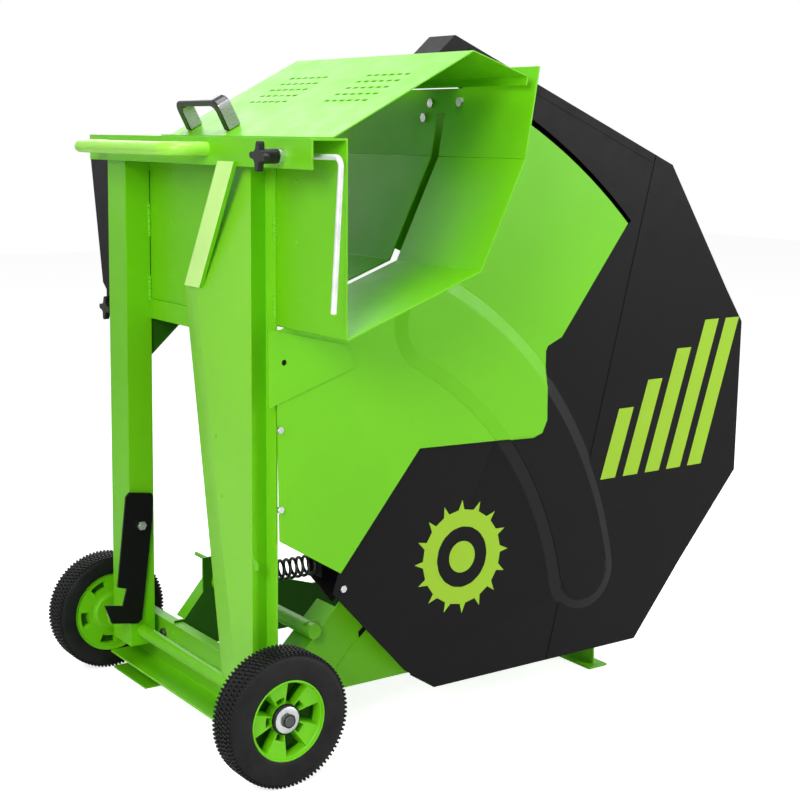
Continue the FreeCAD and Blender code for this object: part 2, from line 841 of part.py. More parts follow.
def make_guard_front():
    flat = prism_y(guard_outline(False), guard_y, guard_y + guard_sheet)
    # Its band runs inside the side sheet's band as the trough tilts.
    half = band_half - guard_sheet - panel_gap
    return pressed(flat, guard_y, half, guard_band_start, guard_band_end, None)


def make_guard_back():
    back = prism_y(guard_outline(True), far_y - guard_sheet, far_y)
    return back.cut(bar_y(arbor_x, arbor_h, shaft_r * shaft_hole_share, guard_y, far_y + overrun))


def make_guard_rim():
    # A folded edge round the outside of the guard, between its two sheets.
    corners = scaled(guard_shares[:guard_rim_corners])
    line = [polar(hood_sweep_r, hood_sweep_deg)] + corners
    y0 = guard_y + guard_sheet
    y1 = far_y - guard_sheet
    wall = prism_y(folded(line, guard_sheet), y0, y1)
    lip = prism_y(folded(line, rim_lip), y1 - guard_sheet, y1)
    return fused([wall, lip])


def make_guard_bolts():
    solids = []
    corners = scaled(guard_shares)
    for (x0, z0), (x1, z1) in zip(corners, corners[1:]):
        length = math.hypot(x1 - x0, z1 - z0)
        if length < guard_bolt_edge or max(z0, z1) < guard_bolt_low:
            continue
        inward = ((z1 - z0) / length * rim_lip / 2, -(x1 - x0) / length * rim_lip / 2)
        for share in guard_bolt_shares:
            x = x0 + (x1 - x0) * share + inward[0]
            z = z0 + (z1 - z0) * share + inward[1]
            solids.append(hexagon(FreeCAD.Vector(x, far_y, z), guard_bolt_r,
                                  FreeCAD.Vector(0, guard_bolt_t, 0)))
    return Part.makeCompound(solids)


def make_far_panel():
    arc_r = swing_r - overrun
    middle = (far_panel_start + far_panel_end) / 2
    points = [polar(far_panel_r, far_panel_start),
              ("arc", polar(far_panel_r, middle), polar(far_panel_r, far_panel_end)),
              polar(arc_r, far_panel_end),
              ("arc", polar(arc_r, middle), polar(arc_r, far_panel_start))]
    y0 = far_y + bolt_head_t
    web = prism_y(points, y0, y0 + guard_sheet)
    y1 = y0 + guard_sheet
    tabs = [prism_y(mount_outline(rises, far_mount_w), y1, y1 + guard_sheet) for rises in mount_rises]
    return fused([web] + tabs)


def make_blade():
    points = []
    root = blade_r - tooth_depth
    for tooth in range(tooth_count):
        start = 2 * math.pi * tooth / tooth_count
        step = 2 * math.pi / tooth_count
        for r, turn in [(blade_r, start), (root, start + step * tooth_face_share),
                        (root, start + step * tooth_gullet_share),
                        (blade_r - tooth_depth / 4, start + step * tooth_back_share)]:
            points.append((arbor_x + r * math.sin(turn), arbor_h + r * math.cos(turn)))
    disc = prism_y(points, blade_y - blade_t / 2, blade_y + blade_t / 2)
    return disc.cut(bar_y(arbor_x, arbor_h, shaft_r, guard_y, far_y))


def make_shaft():
    start = blade_y - blade_t / 2 - flange_t - arbor_nut_t - sheet
    return bar_y(arbor_x, arbor_h, shaft_r, start, fan_start() + fan_t + sheet)


def make_flanges():
    y0 = blade_y - blade_t / 2
    y1 = blade_y + blade_t / 2
    return Part.makeCompound([tube_y(arbor_x, arbor_h, flange_r, shaft_r, y0 - flange_t, y0),
                              tube_y(arbor_x, arbor_h, flange_r, shaft_r, y1, y1 + flange_t)])


def make_arbor_nut():
    y1 = blade_y - blade_t / 2 - flange_t
    nut = hexagon(FreeCAD.Vector(arbor_x, y1, arbor_h), arbor_nut_r, FreeCAD.Vector(0, -arbor_nut_t, 0))
    return nut.cut(bar_y(arbor_x, arbor_h, shaft_r, guard_y, far_y))


def motor_start():
    return far_y + mount_t


def motor_end():
    return motor_start() + shield_t + motor_length


def fan_start():
    return motor_end() + shield_t + sheet


def make_motor_mount():
    return tube_y(arbor_x, arbor_h, mount_r, shaft_r * shaft_hole_share, far_y, far_y + mount_t)


def make_motor_housing():
    y0 = motor_start() + shield_t
    solids = [tube_y(arbor_x, arbor_h, motor_r - fin_h, motor_r - fin_h - motor_wall, y0,
                     y0 + motor_length)]
    for fin in range(fin_count):
        piece = box(arbor_x - fin_t / 2, arbor_x + fin_t / 2, y0, y0 + motor_length,
                    arbor_h + motor_r - fin_h - motor_wall / 2, arbor_h + motor_r)
        piece.rotate(FreeCAD.Vector(arbor_x, 0, arbor_h), FreeCAD.Vector(0, 1, 0),
                     360.0 * fin / fin_count)
        solids.append(piece)
    return fused(solids)


def shield(y0):
    return tube_y(arbor_x, arbor_h, motor_r - fin_h / 2, bearing_r, y0, y0 + shield_t)


def make_bearings():
    solids = []
    for y in [motor_start(), motor_end()]:
        solids.append(tube_y(arbor_x, arbor_h, bearing_r, shaft_r + running, y, y + bearing_w))
    return Part.makeCompound(solids)


def make_stator():
    y0 = (motor_start() + shield_t + motor_end()) / 2 - stator_length / 2
    return tube_y(arbor_x, arbor_h, motor_r - fin_h - motor_wall, stator_bore, y0, y0 + stator_length)


def make_rotor():
    y0 = (motor_start() + shield_t + motor_end()) / 2 - stator_length / 2
    return tube_y(arbor_x, arbor_h, stator_bore - rotor_gap, shaft_r, y0, y0 + stator_length)


def make_fan():
    y0 = fan_start()
    solids = [tube_y(arbor_x, arbor_h, fan_hub_r, shaft_r, y0, y0 + fan_t)]
    for index in range(fan_blades):
        vane = box(arbor_x - sheet / 2, arbor_x + sheet / 2, y0, y0 + fan_t,
                   arbor_h + fan_hub_r - sheet, arbor_h + fan_r)
        vane.rotate(FreeCAD.Vector(arbor_x, 0, arbor_h), FreeCAD.Vector(0, 1, 0),
                    360.0 * index / fan_blades)
        solids.append(vane)
    return fused(solids)


def make_cowl():
    y0 = motor_end()
    y1 = y0 + cowl_length
    outer = bar_y(arbor_x, arbor_h, motor_r - fin_h / 2 + guard_sheet, y0, y1)
    inner = bar_y(arbor_x, arbor_h, motor_r - fin_h / 2, y0 - overrun, y1 - guard_sheet)
    cowl = outer.cut(inner)
    slots = []
    for index in range(cowl_slots):
        slot = box(arbor_x - sheet, arbor_x + sheet, y1 - guard_sheet - overrun, y1 + overrun,
                   arbor_h + shaft_r, arbor_h + fan_r)
        slot.rotate(FreeCAD.Vector(arbor_x, 0, arbor_h), FreeCAD.Vector(0, 1, 0),
                    360.0 * index / cowl_slots)
        slots.append(slot)
    return cowl.cut(Part.makeCompound(slots))


def make_switch_box():
    outer = box(box_x, box_x + box_w, far_y, far_y + box_depth, box_h, box_h + box_tall)
    inner = box(box_x + box_wall, box_x + box_w - box_wall, far_y + box_wall,
                far_y + box_depth + overrun, box_h + box_wall, box_h + box_tall - box_wall)
    return outer.cut(inner)


def button_places():
    x = box_x + box_w / 2
    return [(x, box_h + box_tall * start_rise_share, start_r),
            (x, box_h + box_tall * stop_rise_share, stop_button_r)]


def make_switch_cover():
    y0 = far_y + box_depth
    cover = box(box_x, box_x + box_w, y0, y0 + box_wall, box_h, box_h + box_tall)
    for x, h, r in button_places():
        cover = cover.cut(bar_y(x, h, r + button_play, y0 - overrun, y0 + overrun * 2))
    return cover


def make_button(place):
    x, h, r = place
    y0 = far_y + box_depth
    return bar_y(x, h, r, y0 - button_stand * 2, y0 + box_wall + button_stand)


def make_switch_block():
    # The switch inside the box, which the buttons press.
    y0 = far_y + box_wall
    y1 = far_y + box_depth - button_stand * 2 - overrun
    side = box_wall * 4
    return box(box_x + side, box_x + box_w - side, y0, y1, box_h + side, box_h + box_tall - side)


def make_inlet():
    middle = FreeCAD.Vector(box_x + box_w / 2, far_y + box_depth / 2, box_h)
    down = FreeCAD.Vector(0, 0, -1)
    barrel = Part.makeCylinder(inlet_r, inlet_length, middle, down)
    start = middle + down * (inlet_length / 4)
    barrel = barrel.cut(Part.makeCylinder(inlet_r - box_wall, inlet_length, start, down))
    pins = []
    for index in range(inlet_pins):
        turn = 2 * math.pi * index / inlet_pins
        spot = start + FreeCAD.Vector(math.cos(turn), math.sin(turn), 0) * (inlet_r * inlet_pin_share)
        pins.append(Part.makeCylinder(box_wall, inlet_length * inlet_pin_share, spot, down))
    return fused([barrel] + pins)


def make_axle():
    return bar_y(0, 0, axle_r, hub_near - washer_t - axle_nut_t - sheet,
                 track - hub_near + washer_t + axle_nut_t + sheet)


def wheel_side(y, far):
    return track - y if far else y


def turned_ring(points, far):
    # Turns an outline of radius and place along the axle about the axle.
    corners = [FreeCAD.Vector(r, wheel_side(y, far), 0) for r, y in points]
    face = Part.Face(Part.makePolygon(corners + [corners[0]]))
    return face.revolve(FreeCAD.Vector(0, 0, 0), FreeCAD.Vector(0, 1, 0), 360)


def positive(solid):
    if solid.Volume < 0:
        solid.reverse()
    return solid


def make_tyre(far):
    half = wheel_w / 2
    step = half / 6
    profile = [(bead_r, -half + step), (bead_r + step, -half), (wheel_r - step * 3, -half),
               (wheel_r - step * 0.9, -half + step * 1.2), (wheel_r, -half + step * 3),
               (wheel_r, half - step * 3), (wheel_r - step * 0.9, half - step * 1.2),
               (wheel_r - step * 3, half), (bead_r + step, half), (bead_r, half - step)]
    body = positive(turned_ring(profile, far))
    cuts = []
    for index in range(lug_count):
        for y0, half_step in [(-half - overrun, 0.0), (half - lug_length, 0.5)]:
            groove = box(-lug_width / 2, lug_width / 2, wheel_side(0, far) + y0,
                         wheel_side(0, far) + y0 + lug_length + overrun,
                         wheel_r - lug_depth, wheel_r + overrun)
            groove.rotate(FreeCAD.Vector(0, 0, 0), FreeCAD.Vector(0, 1, 0),
                          360.0 * (index + half_step) / lug_count)
            cuts.append(groove)
    return body.cut(Part.makeCompound(cuts))


def make_rim(far):
    half = wheel_w / 2 - wheel_w / 12
    web = hub_near + hub_r / 4
    barrel = positive(turned_ring([(bead_r - rim_web, -half), (bead_r, -half), (bead_r, half),
                                   (bead_r - rim_web, half)], far))
    disc = positive(turned_ring([(wheel_bush_r, web), (bead_r - rim_web / 2, web),
                                 (bead_r - rim_web / 2, web + rim_web),
                                 (wheel_bush_r, web + rim_web)], far))
    hub = positive(turned_ring([(wheel_bush_r, hub_near), (hub_r, hub_near), (hub_r, hub_far),
                                (wheel_bush_r, hub_far)], far))
    rim = fused([barrel, disc, hub])
    pockets = []
    span = 180.0 / pocket_count * pocket_share
    y_a = min(wheel_side(web, far), wheel_side(web + rim_web, far)) - running
    y_b = max(wheel_side(web, far), wheel_side(web + rim_web, far)) + running
    for index in range(pocket_count):
        middle = 360.0 / pocket_count * (index + 0.5)
        points = [polar(pocket_r1, middle - span),
                  ("arc", polar(pocket_r1, middle), polar(pocket_r1, middle + span)),
                  polar(pocket_r2, middle + span),
                  ("arc", polar(pocket_r2, middle), polar(pocket_r2, middle - span))]
        pockets.append(prism_y(points, y_a, y_b))
    return rim.cut(Part.makeCompound(pockets))


def make_wheel_bush(far):
    y0, y1 = sorted([wheel_side(hub_near, far), wheel_side(hub_far, far)])
    return tube_y(0, 0, wheel_bush_r, axle_r + running, y0, y1)


def make_axle_nuts():
    solids = []
    for far, way in [(False, -1), (True, 1)]:
        y = wheel_side(hub_near - seat_gap, far)
        ends = sorted([y, y + way * washer_t])
        solids.append(tube_y(0, 0, washer_r, axle_r, ends[0], ends[1]))
        nut = hexagon(FreeCAD.Vector(0, y + way * washer_t, 0), axle_nut_r,
                      FreeCAD.Vector(0, way * axle_nut_t, 0))
        solids.append(nut.cut(bar_y(0, 0, axle_r, hub_near * 4, track * 2)))
    return Part.makeCompound(solids)


def make_front_channel():
    line = [(front_x - front_flange, front_low), (front_x, front_low), (front_x, front_high),
            (front_x + front_rib, front_high)]
    return prism_y(folded(line, plate), front_near, front_far)


def make_axle_brackets():
    solids = []
    for y in [bracket_near_y, bracket_far_y]:
        y0, y1 = y, y + bracket_t
        low = -bracket_r
        points = [(0, low), (front_x, front_low + plate), (front_x, front_high - plate),
                  (0, bracket_r), ("arc", (low, 0), (0, low))]
        ear = prism_y(points, y0, y1).cut(bar_y(0, 0, axle_r, y0 - overrun, y1 + overrun))
        solids.append(ear)
    return Part.makeCompound(solids)


def make_near_rail():
    # A side plate whose sloping front edge is folded back as a flange.
    web = prism_y(scaled(near_rail_shares), near_rail_y, near_rail_y + plate)
    flange = prism_y(folded(scaled(near_flange_shares), plate), near_rail_y + plate,
                     near_rail_y + near_flange_w)
    return fused([web, flange]).cut(make_front_channel())


def make_far_rail():
    web = prism_y(scaled(far_rail_shares), far_rail_y, far_rail_y + plate)
    flange = prism_y(folded(scaled(far_flange_shares), plate), far_rail_y + plate,
                     far_rail_y + far_flange_w)
    return fused([web, flange]).cut(make_front_channel())


def make_cross_tube():
    return tube_y(cross_tube_x, cross_tube_h, cross_tube_r, cross_tube_r - cross_tube_wall,
                  cross_tube_near, far_rail_y)


def make_rear_member():
    outer = box(rear_x, rear_x + rear_w, near_rail_y + plate, far_rail_y, rear_low, rear_low + rear_w)
    inner = box(rear_x + sheet, rear_x + rear_w - sheet, near_rail_y, far_rail_y + plate,
                rear_low + sheet, rear_low + rear_w - sheet)
    return outer.cut(inner)


def foot(x0, y0, top, web_y0, web_y1, web_x):
    pad = box(x0, x0 + foot_w, y0, y0 + foot_l, floor_h, floor_h + plate)
    web = box(web_x, web_x + plate, web_y0, web_y1, floor_h + plate, top)
    return fused([pad, web])


def make_feet():
    web_x = front_x
    front_y = [front_near_foot_y, front_far_foot_y]
    rear_y = [rear_near_foot_y, rear_far_foot_y]
    inset = plate * 2
    shapes = []
    for y in front_y:
        shapes.append(foot(web_x - foot_w + plate, y, front_low - plate, y + inset,
                           y + foot_l - inset, web_x))
    for y in rear_y:
        start = max(y + inset, near_rail_y + plate)
        end = min(y + foot_l - inset, far_rail_y)
        shapes.append(foot(rear_x, y, rear_low, start, end, rear_x + rear_w / 2))
    return Part.makeCompound(shapes)


def make_lock_pin():
    y0 = far_rail_y + plate
    return bar_y(pin_x, pin_h, pin_r, y0, y0 + pin_length)


def make_spring_bracket():
    # A black plate bolted to the guard's lower corner; the spring bears on its bent end.
    web_end = far_y - bracket_gap
    web = prism_y(scaled(bracket_shares), web_end - bracket_web_t, web_end)
    seat = box(spring_end_x, spring_end_x + plate, spring_y - spring_r - sheet,
               web_end, spring_h - spring_r - sheet, spring_h + spring_r + sheet)
    stay = box(spring_end_x, spring_end_x + spring_r * 2, web_end, far_y - guard_sheet,
               spring_h - spring_r - sheet, spring_h)
    return fused([web, seat, stay]).cut(make_guard_rim())


def make_base_bolts():
    solids = []
    for y, rise in channel_bolts:
        middle = FreeCAD.Vector(front_x - bolt_head_t, y, front_low + rise)
        solids.append(hexagon(middle, bolt_head_r, FreeCAD.Vector(bolt_head_t, 0, 0)))
    corner = scaled([corner_bolt_shares])[0]
    solids.append(hexagon(FreeCAD.Vector(corner[0], guard_y, corner[1]), corner_bolt_r,
                          FreeCAD.Vector(0, -corner_bolt_t, 0)))
    return Part.makeCompound(solids)


def biarc(start, ahead, end, onward):
    # Two arcs that leave start along ahead and reach end along onward.
    chord = end - start
    both = ahead + onward
    flat = 2 * (1 - ahead.dot(onward))
    along = chord.dot(both)
    reach = (math.sqrt(along * along + flat * chord.dot(chord)) - along) / flat
    first = start + ahead * reach
    last = end - onward * reach
    joint = (first + last) * 0.5
    edges = []
    for a, corner, b in [(start, first, joint), (joint, last, end)]:
        half = (a + b) * 0.5
        share = a.distanceToPoint(half) / reach
        middle = half + (corner - half) * (share / (1 + share))
        edges.append(Part.Arc(a, middle, b).toShape())
    return edges


def helix_place(turn, start_x, pitch):
    # The point and the direction of the coil after a number of turns.
    angle = 2 * math.pi * turn
    point = FreeCAD.Vector(start_x + pitch * turn, spring_y + spring_r * math.sin(angle),
                           spring_h + spring_r * math.cos(angle))
    ahead = FreeCAD.Vector(pitch, 2 * math.pi * spring_r * math.cos(angle),
                           -2 * math.pi * spring_r * math.sin(angle))
    return point, ahead.normalize()


def spring_edges():
    x0 = leg_x + sheet + seat_gap
    x1 = spring_end_x - seat_gap
    straight = spring_wire_r * 2
    lead_turn = 1.0 / 6.0
    start_x = x0 + straight + spring_lead
    end_x = x1 - straight - spring_lead
    pitch = (end_x - start_x) / spring_turns
    along = FreeCAD.Vector(1, 0, 0)
    first, first_way = helix_place(0, start_x, pitch)
    last, last_way = helix_place(spring_turns, start_x, pitch)

    def lead_point(turn, x):
        angle = 2 * math.pi * turn
        return FreeCAD.Vector(x, spring_y + spring_r * math.sin(angle),
                              spring_h + spring_r * math.cos(angle))

    a = lead_point(-lead_turn, x0)
    b = lead_point(-lead_turn, x0 + straight)
    edges = [Part.LineSegment(a, b).toShape()] + biarc(b, along, first, first_way)
    count = int(spring_turns * quarters_per_turn)
    for index in range(count):
        p, p_way = helix_place(index * spring_turns / count, start_x, pitch)
        q, q_way = helix_place((index + 1) * spring_turns / count, start_x, pitch)
        edges += biarc(p, p_way, q, q_way)
    c = lead_point(spring_turns + lead_turn, x1 - straight)
    d = lead_point(spring_turns + lead_turn, x1)
    edges += biarc(last, last_way, c, along)
    edges.append(Part.LineSegment(c, d).toShape())
    return edges


def least_gap(edges, wire_r):
    # The least distance between parts of the wire that lie over a third of a turn apart.
    points = []
    travelled = 0.0
    for edge in edges:
        for point in edge.discretize(5)[:-1]:
            if points:
                travelled += point.distanceToPoint(points[-1][1])
            points.append((travelled, point))
    apart = 2 * math.pi * spring_r / 3
    least = math.inf
    for index, (run, point) in enumerate(points):
        for other_run, other in points[index + 1:]:
            if other_run - run > apart:
                least = min(least, point.distanceToPoint(other))
    return least - 2 * wire_r


def make_spring():
    edges = spring_edges()
    print("return_spring least gap to itself: %.2f mm" % least_gap(edges, spring_wire_r))
    return swept(Part.Wire(edges), spring_wire_r)


def make_hook():
    shape = prism_y(hook_points, hook_y, hook_y + hook_t)
    return shape.cut(bar_y(hook_x, hook_h, hook_shank_r, hook_y - overrun, hook_y + hook_t * 2))


def make_hook_bolt():
    x, h = hook_x, hook_h
    shank = bar_y(x, h, hook_shank_r - running, hook_y - slip, far_leg_y)
    head = hexagon(FreeCAD.Vector(x, hook_y - slip, h), hook_bolt_r, FreeCAD.Vector(0, -bolt_head_t, 0))
    return fused([shank, head])


def build():
    start_place, stop_place = button_places()
    return {
        "front_wall": make_front_wall(),
        "trough_floor": make_trough_floor(),
        "back_wall": make_back_wall(),
        "hood": make_hood(),
        "near_leg": make_near_leg(),
        "far_leg": make_far_leg(),
        "leg_brace": make_brace(),
        "cross_beam": make_beam(),
        "gussets": Part.makeCompound([make_near_gusset(), make_far_gusset()]),
        "pivot_tube": make_pivot_tube(),
        "pivot_bushes": make_pivot_bushes(),
        "bow_handle": make_bow_handle(),
        "bridge_grip": make_grip(),
        "rocker_bolts": Part.makeCompound([make_rocker_bolts(), make_hook_bolt()]),
        "stop_clamp": Part.makeCompound([make_stop_nut(), make_stop_guide()]),
        "stop_knob": make_stop_knob(),
        "stop_rod": make_stop_rod(),
        "stop_collar": make_stop_collar(),
        "trough_extension": make_extension(),
        "extension_knob": make_extension_knob(),
        "near_panel": make_near_panel(),
        "panel_brackets": make_panel_mounts(),
        "far_panel": make_far_panel(),
        "latch_hook": make_hook(),
        "guard_front": make_guard_front(),
        "guard_back": make_guard_back(),
        "guard_rim": make_guard_rim(),
        "saw_blade": make_blade(),
        "arbor_shaft": make_shaft(),
        "blade_flanges": make_flanges(),
        "arbor_nut": make_arbor_nut(),
        "motor_mount": make_motor_mount(),
        "motor_housing": make_motor_housing(),
        "motor_shields": Part.makeCompound([shield(motor_start()), shield(motor_end())]),
        "motor_bearings": make_bearings(),
        "motor_stator": make_stator(),
        "motor_rotor": make_rotor(),
        "cooling_fan": make_fan(),
        "fan_cowl": make_cowl(),
        "switch_box": Part.makeCompound([make_switch_box(), make_switch_block()]),
        "switch_cover": make_switch_cover(),
        "start_button": make_button(start_place),
        "stop_button": make_button(stop_place),
        "power_inlet": make_inlet(),
        "axle": make_axle(),
        "axle_nuts": make_axle_nuts(),
        "near_tyre": make_tyre(False),
        "near_rim": make_rim(False),
        "near_wheel_bush": make_wheel_bush(False),
        "far_tyre": make_tyre(True),
        "far_rim": make_rim(True),
        "far_wheel_bush": make_wheel_bush(True),
        "front_channel": Part.makeCompound([make_front_channel(), make_axle_brackets()]),
        "near_rail": make_near_rail(),
        "far_rail": Part.makeCompound([make_far_rail(), make_lock_pin()]),
        "cross_members": Part.makeCompound([make_cross_tube(), make_rear_member()]),
        "feet": make_feet(),
        "spring_bracket": make_spring_bracket(),
        "base_bolts": Part.makeCompound([make_base_bolts(), make_guard_bolts()]),
        "return_spring": make_spring(),
    }


def standing(pieces):
    # Moves the pieces so that the origin lies under the middle of the whole, on the ground.
    whole = Part.makeCompound(list(pieces.values())).optimalBoundingBox(False, False)
    shift = FreeCAD.Vector(-(whole.XMin + whole.XMax) / 2, -(whole.YMin + whole.YMax) / 2, -floor_h)
    for shape in pieces.values():
        shape.translate(shift)
    return shift


pieces = build()
shift = standing(pieces)
print("the axle's middle plane lies at x %.3f, y %.3f, z %.3f" % (shift.x, shift.y, shift.z))
os.makedirs("parts", exist_ok=True)
for name, shape in pieces.items():
    shape.exportStep("parts/" + name + ".step")
    print(name, len(shape.Solids), "%.0f" % shape.Volume, shape.isValid())
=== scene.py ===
import json
import math
import bmesh
import bpy
import numpy as np
from mathutils import Matrix, Vector


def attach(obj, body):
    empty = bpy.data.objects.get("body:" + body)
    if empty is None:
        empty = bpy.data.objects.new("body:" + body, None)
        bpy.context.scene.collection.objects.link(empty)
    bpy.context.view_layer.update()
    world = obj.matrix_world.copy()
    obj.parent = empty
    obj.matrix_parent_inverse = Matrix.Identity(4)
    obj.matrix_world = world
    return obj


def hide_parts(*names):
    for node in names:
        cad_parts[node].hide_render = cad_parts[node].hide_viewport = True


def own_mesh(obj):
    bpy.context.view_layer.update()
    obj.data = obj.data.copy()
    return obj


# Firewood circular saw: powder coated sheet metal, satin black guard, rubber tyres.
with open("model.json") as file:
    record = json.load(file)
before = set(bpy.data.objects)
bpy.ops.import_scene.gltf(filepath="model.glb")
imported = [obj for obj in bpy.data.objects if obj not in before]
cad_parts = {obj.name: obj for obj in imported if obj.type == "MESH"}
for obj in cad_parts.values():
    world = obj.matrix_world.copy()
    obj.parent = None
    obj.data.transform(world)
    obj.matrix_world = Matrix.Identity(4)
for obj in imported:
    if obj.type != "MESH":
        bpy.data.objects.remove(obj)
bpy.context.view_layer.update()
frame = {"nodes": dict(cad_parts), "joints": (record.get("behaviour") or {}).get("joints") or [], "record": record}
nodes = frame["nodes"]
joints = {joint["name"]: joint for joint in frame["joints"]}
bodyOf = {node: body for body, members in frame["record"]["behaviour"]["bodies"].items()
          for node in members}
slotOf = {row["node"]: row["material_slot"] for row in frame["record"]["subparts"]}
pivot = Vector(joints["trough_tilt"]["pos_m"])  # the wheel axle, which the trough swings about
mm = 0.001


# Camera: the photograph's own viewing point, angle and lens
camera = {"place": (-1.1125, -1.9121, 0.8644), "yaw": 34.66, "pitch": 6.06, "roll": 0.333,
          "lens": 69.71, "shiftY": -0.1354}


def setCamera():
    data = bpy.data.cameras.new("photoCamera")
    data.lens = camera["lens"]
    data.sensor_width = 36
    data.shift_y = camera["shiftY"]
    data.clip_end = 50
    lens = bpy.data.objects.new("photoCamera", data)
    yaw, pitch, roll = (math.radians(camera[key]) for key in ("yaw", "pitch", "roll"))
    ahead = Vector((math.sin(yaw) * math.cos(pitch), math.cos(yaw) * math.cos(pitch), -math.sin(pitch)))
    right = Vector((math.cos(yaw), -math.sin(yaw), 0))
    up = right.cross(ahead)
    turnedRight = right * math.cos(roll) + up * math.sin(roll)
    turnedUp = up * math.cos(roll) - right * math.sin(roll)
    turn = Matrix((turnedRight, turnedUp, -ahead)).transposed()
    lens.matrix_world = Matrix.Translation(pivot + Vector(camera["place"])) @ turn.to_4x4()
    bpy.context.scene.collection.objects.link(lens)
    bpy.context.scene.camera = lens


# Light: a wide one overhead, a key at the right, a strong one at the front left, a weak one behind
lights = {"top": {"place": (-0.4, -0.7, 3.5), "size": 1.9, "power": 66},
          "key": {"place": (2.3, -2.5, 1.6), "size": 1.5, "power": 52},
          "front": {"place": (-2.7, -1.9, 2.0), "size": 1.3, "power": 62},
          "back": {"place": (0.6, 3.0, 2.2), "size": 1.8, "power": 22},
          "aim": (0, 0, 0.5), "room": 0.24}
floorSheet = {"half": 9.0, "colour": (0.86, 0.86, 0.86, 1), "glow": 0.75}


def setStage():
    scene = bpy.context.scene
    scene.view_settings.view_transform = "Standard"
    for name in ("top", "key", "front", "back"):
        values = lights[name]
        lamp = bpy.data.lights.new(name + "Light", "AREA")
        lamp.size = values["size"]
        lamp.energy = values["power"]
        holder = bpy.data.objects.new(name + "Light", lamp)
        holder.location = values["place"]
        aim = Vector(lights["aim"]) - holder.location
        holder.rotation_euler = aim.to_track_quat("-Z", "Y").to_euler()
        scene.collection.objects.link(holder)
    world = bpy.data.worlds.new("studio")
    scene.world = world
    world.use_nodes = True
    tree = world.node_tree
    room = tree.nodes["Background"]
    room.inputs["Color"].default_value = (1, 1, 1, 1)
    room.inputs["Strength"].default_value = lights["room"]
    backdrop = tree.nodes.new("ShaderNodeBackground")
    backdrop.inputs["Color"].default_value = (1, 1, 1, 1)
    backdrop.inputs["Strength"].default_value = 1
    mix = tree.nodes.new("ShaderNodeMixShader")
    path = tree.nodes.new("ShaderNodeLightPath")
    seen = cameraOrMirror(tree, path)
    tree.links.new(seen, mix.inputs["Fac"])
    tree.links.new(room.outputs[0], mix.inputs[1])
    tree.links.new(backdrop.outputs[0], mix.inputs[2])
    tree.links.new(mix.outputs[0], tree.nodes["World Output"].inputs["Surface"])

    corners = np.array([[-1, -1, 0], [1, -1, 0], [1, 1, 0], [-1, 1, 0]]) * floorSheet["half"]
    mesh = bpy.data.meshes.new("studioFloor")
    mesh.from_pydata(corners.tolist(), [], [(0, 1, 2, 3)])
    floor = bpy.data.objects.new("studioFloor", mesh)
    scene.collection.objects.link(floor)
    paint = bpy.data.materials.new("paleFloor")
    paint.use_nodes = True
    surface = paint.node_tree.nodes["Principled BSDF"]
    surface.inputs["Base Color"].default_value = floorSheet["colour"]
    surface.inputs["Roughness"].default_value = 1
    surface.inputs["Specular IOR Level"].default_value = 0
    surface.inputs["Emission Color"].default_value = (1, 1, 1, 1)
    # Only the camera sees the floor's own light, so none of it reaches the object.
    glow = paint.node_tree.nodes.new("ShaderNodeMath")
    glow.operation = "MULTIPLY"
    glow.inputs[1].default_value = floorSheet["glow"]
    path = paint.node_tree.nodes.new("ShaderNodeLightPath")
    paint.node_tree.links.new(path.outputs["Is Camera Ray"], glow.inputs[0])
    paint.node_tree.links.new(glow.outputs[0], surface.inputs["Emission Strength"])
    floor.data.materials.append(paint)


def cameraOrMirror(tree, path):
    # One where a ray comes from the camera, a mirror or glass, so that they see the backdrop.
    seen = path.outputs["Is Camera Ray"]
    for ray in ("Is Glossy Ray", "Is Transmission Ray"):
        either = tree.nodes.new("ShaderNodeMath")
        either.operation = "MAXIMUM"
        tree.links.new(seen, either.inputs[0])
        tree.links.new(path.outputs[ray], either.inputs[1])
        seen = either.outputs[0]
    return seen


setCamera()
setStage()
print("camera and stage made")


# Shared shader groups. Each gives only colours, masks, values and normals.
def newGroup(name, inputs, outputs):
    group = bpy.data.node_groups.new(name, "ShaderNodeTree")
    for title, kind, start in inputs:
        socket = group.interface.new_socket(title, in_out="INPUT", socket_type=kind)
        socket.default_value = start
    for title, kind in outputs:
        group.interface.new_socket(title, in_out="OUTPUT", socket_type=kind)
    return group, group.nodes.new("NodeGroupInput"), group.nodes.new("NodeGroupOutput")


def mathNode(tree, operation, first, second, clamp=False):
    node = tree.nodes.new("ShaderNodeMath")
    node.operation = operation
    node.use_clamp = clamp
    for index, value in enumerate((first, second)):
        if isinstance(value, (int, float)):
            node.inputs[index].default_value = value
        else:
            tree.links.new(value, node.inputs[index])
    return node.outputs[0]


def rampNode(tree, value, low, high, fromLow=0.0, toHigh=1.0):
    node = tree.nodes.new("ShaderNodeMapRange")
    node.inputs["From Min"].default_value = low
    node.inputs["From Max"].default_value = high
    node.inputs["To Min"].default_value = fromLow
    node.inputs["To Max"].default_value = toHigh
    tree.links.new(value, node.inputs["Value"])
    return node.outputs[0]


def noiseNode(tree, vector, scale, detail=2.0, rough=0.5):
    node = tree.nodes.new("ShaderNodeTexNoise")
    node.inputs["Scale"].default_value = scale
    node.inputs["Detail"].default_value = detail
    node.inputs["Roughness"].default_value = rough
    tree.links.new(vector, node.inputs["Vector"])
    return node.outputs["Fac"]


def mixColour(tree, fac, first, second):
    node = tree.nodes.new("ShaderNodeMix")
    node.data_type = "RGBA"
    for title, value in (("Factor", fac), ("A", first), ("B", second)):
        socket = node.inputs[title]
        if isinstance(value, (int, float)):
            socket.default_value = value
        elif isinstance(value, tuple):
            socket.default_value = (*value, 1)
        else:
            tree.links.new(value, socket)
    return node.outputs["Result"]


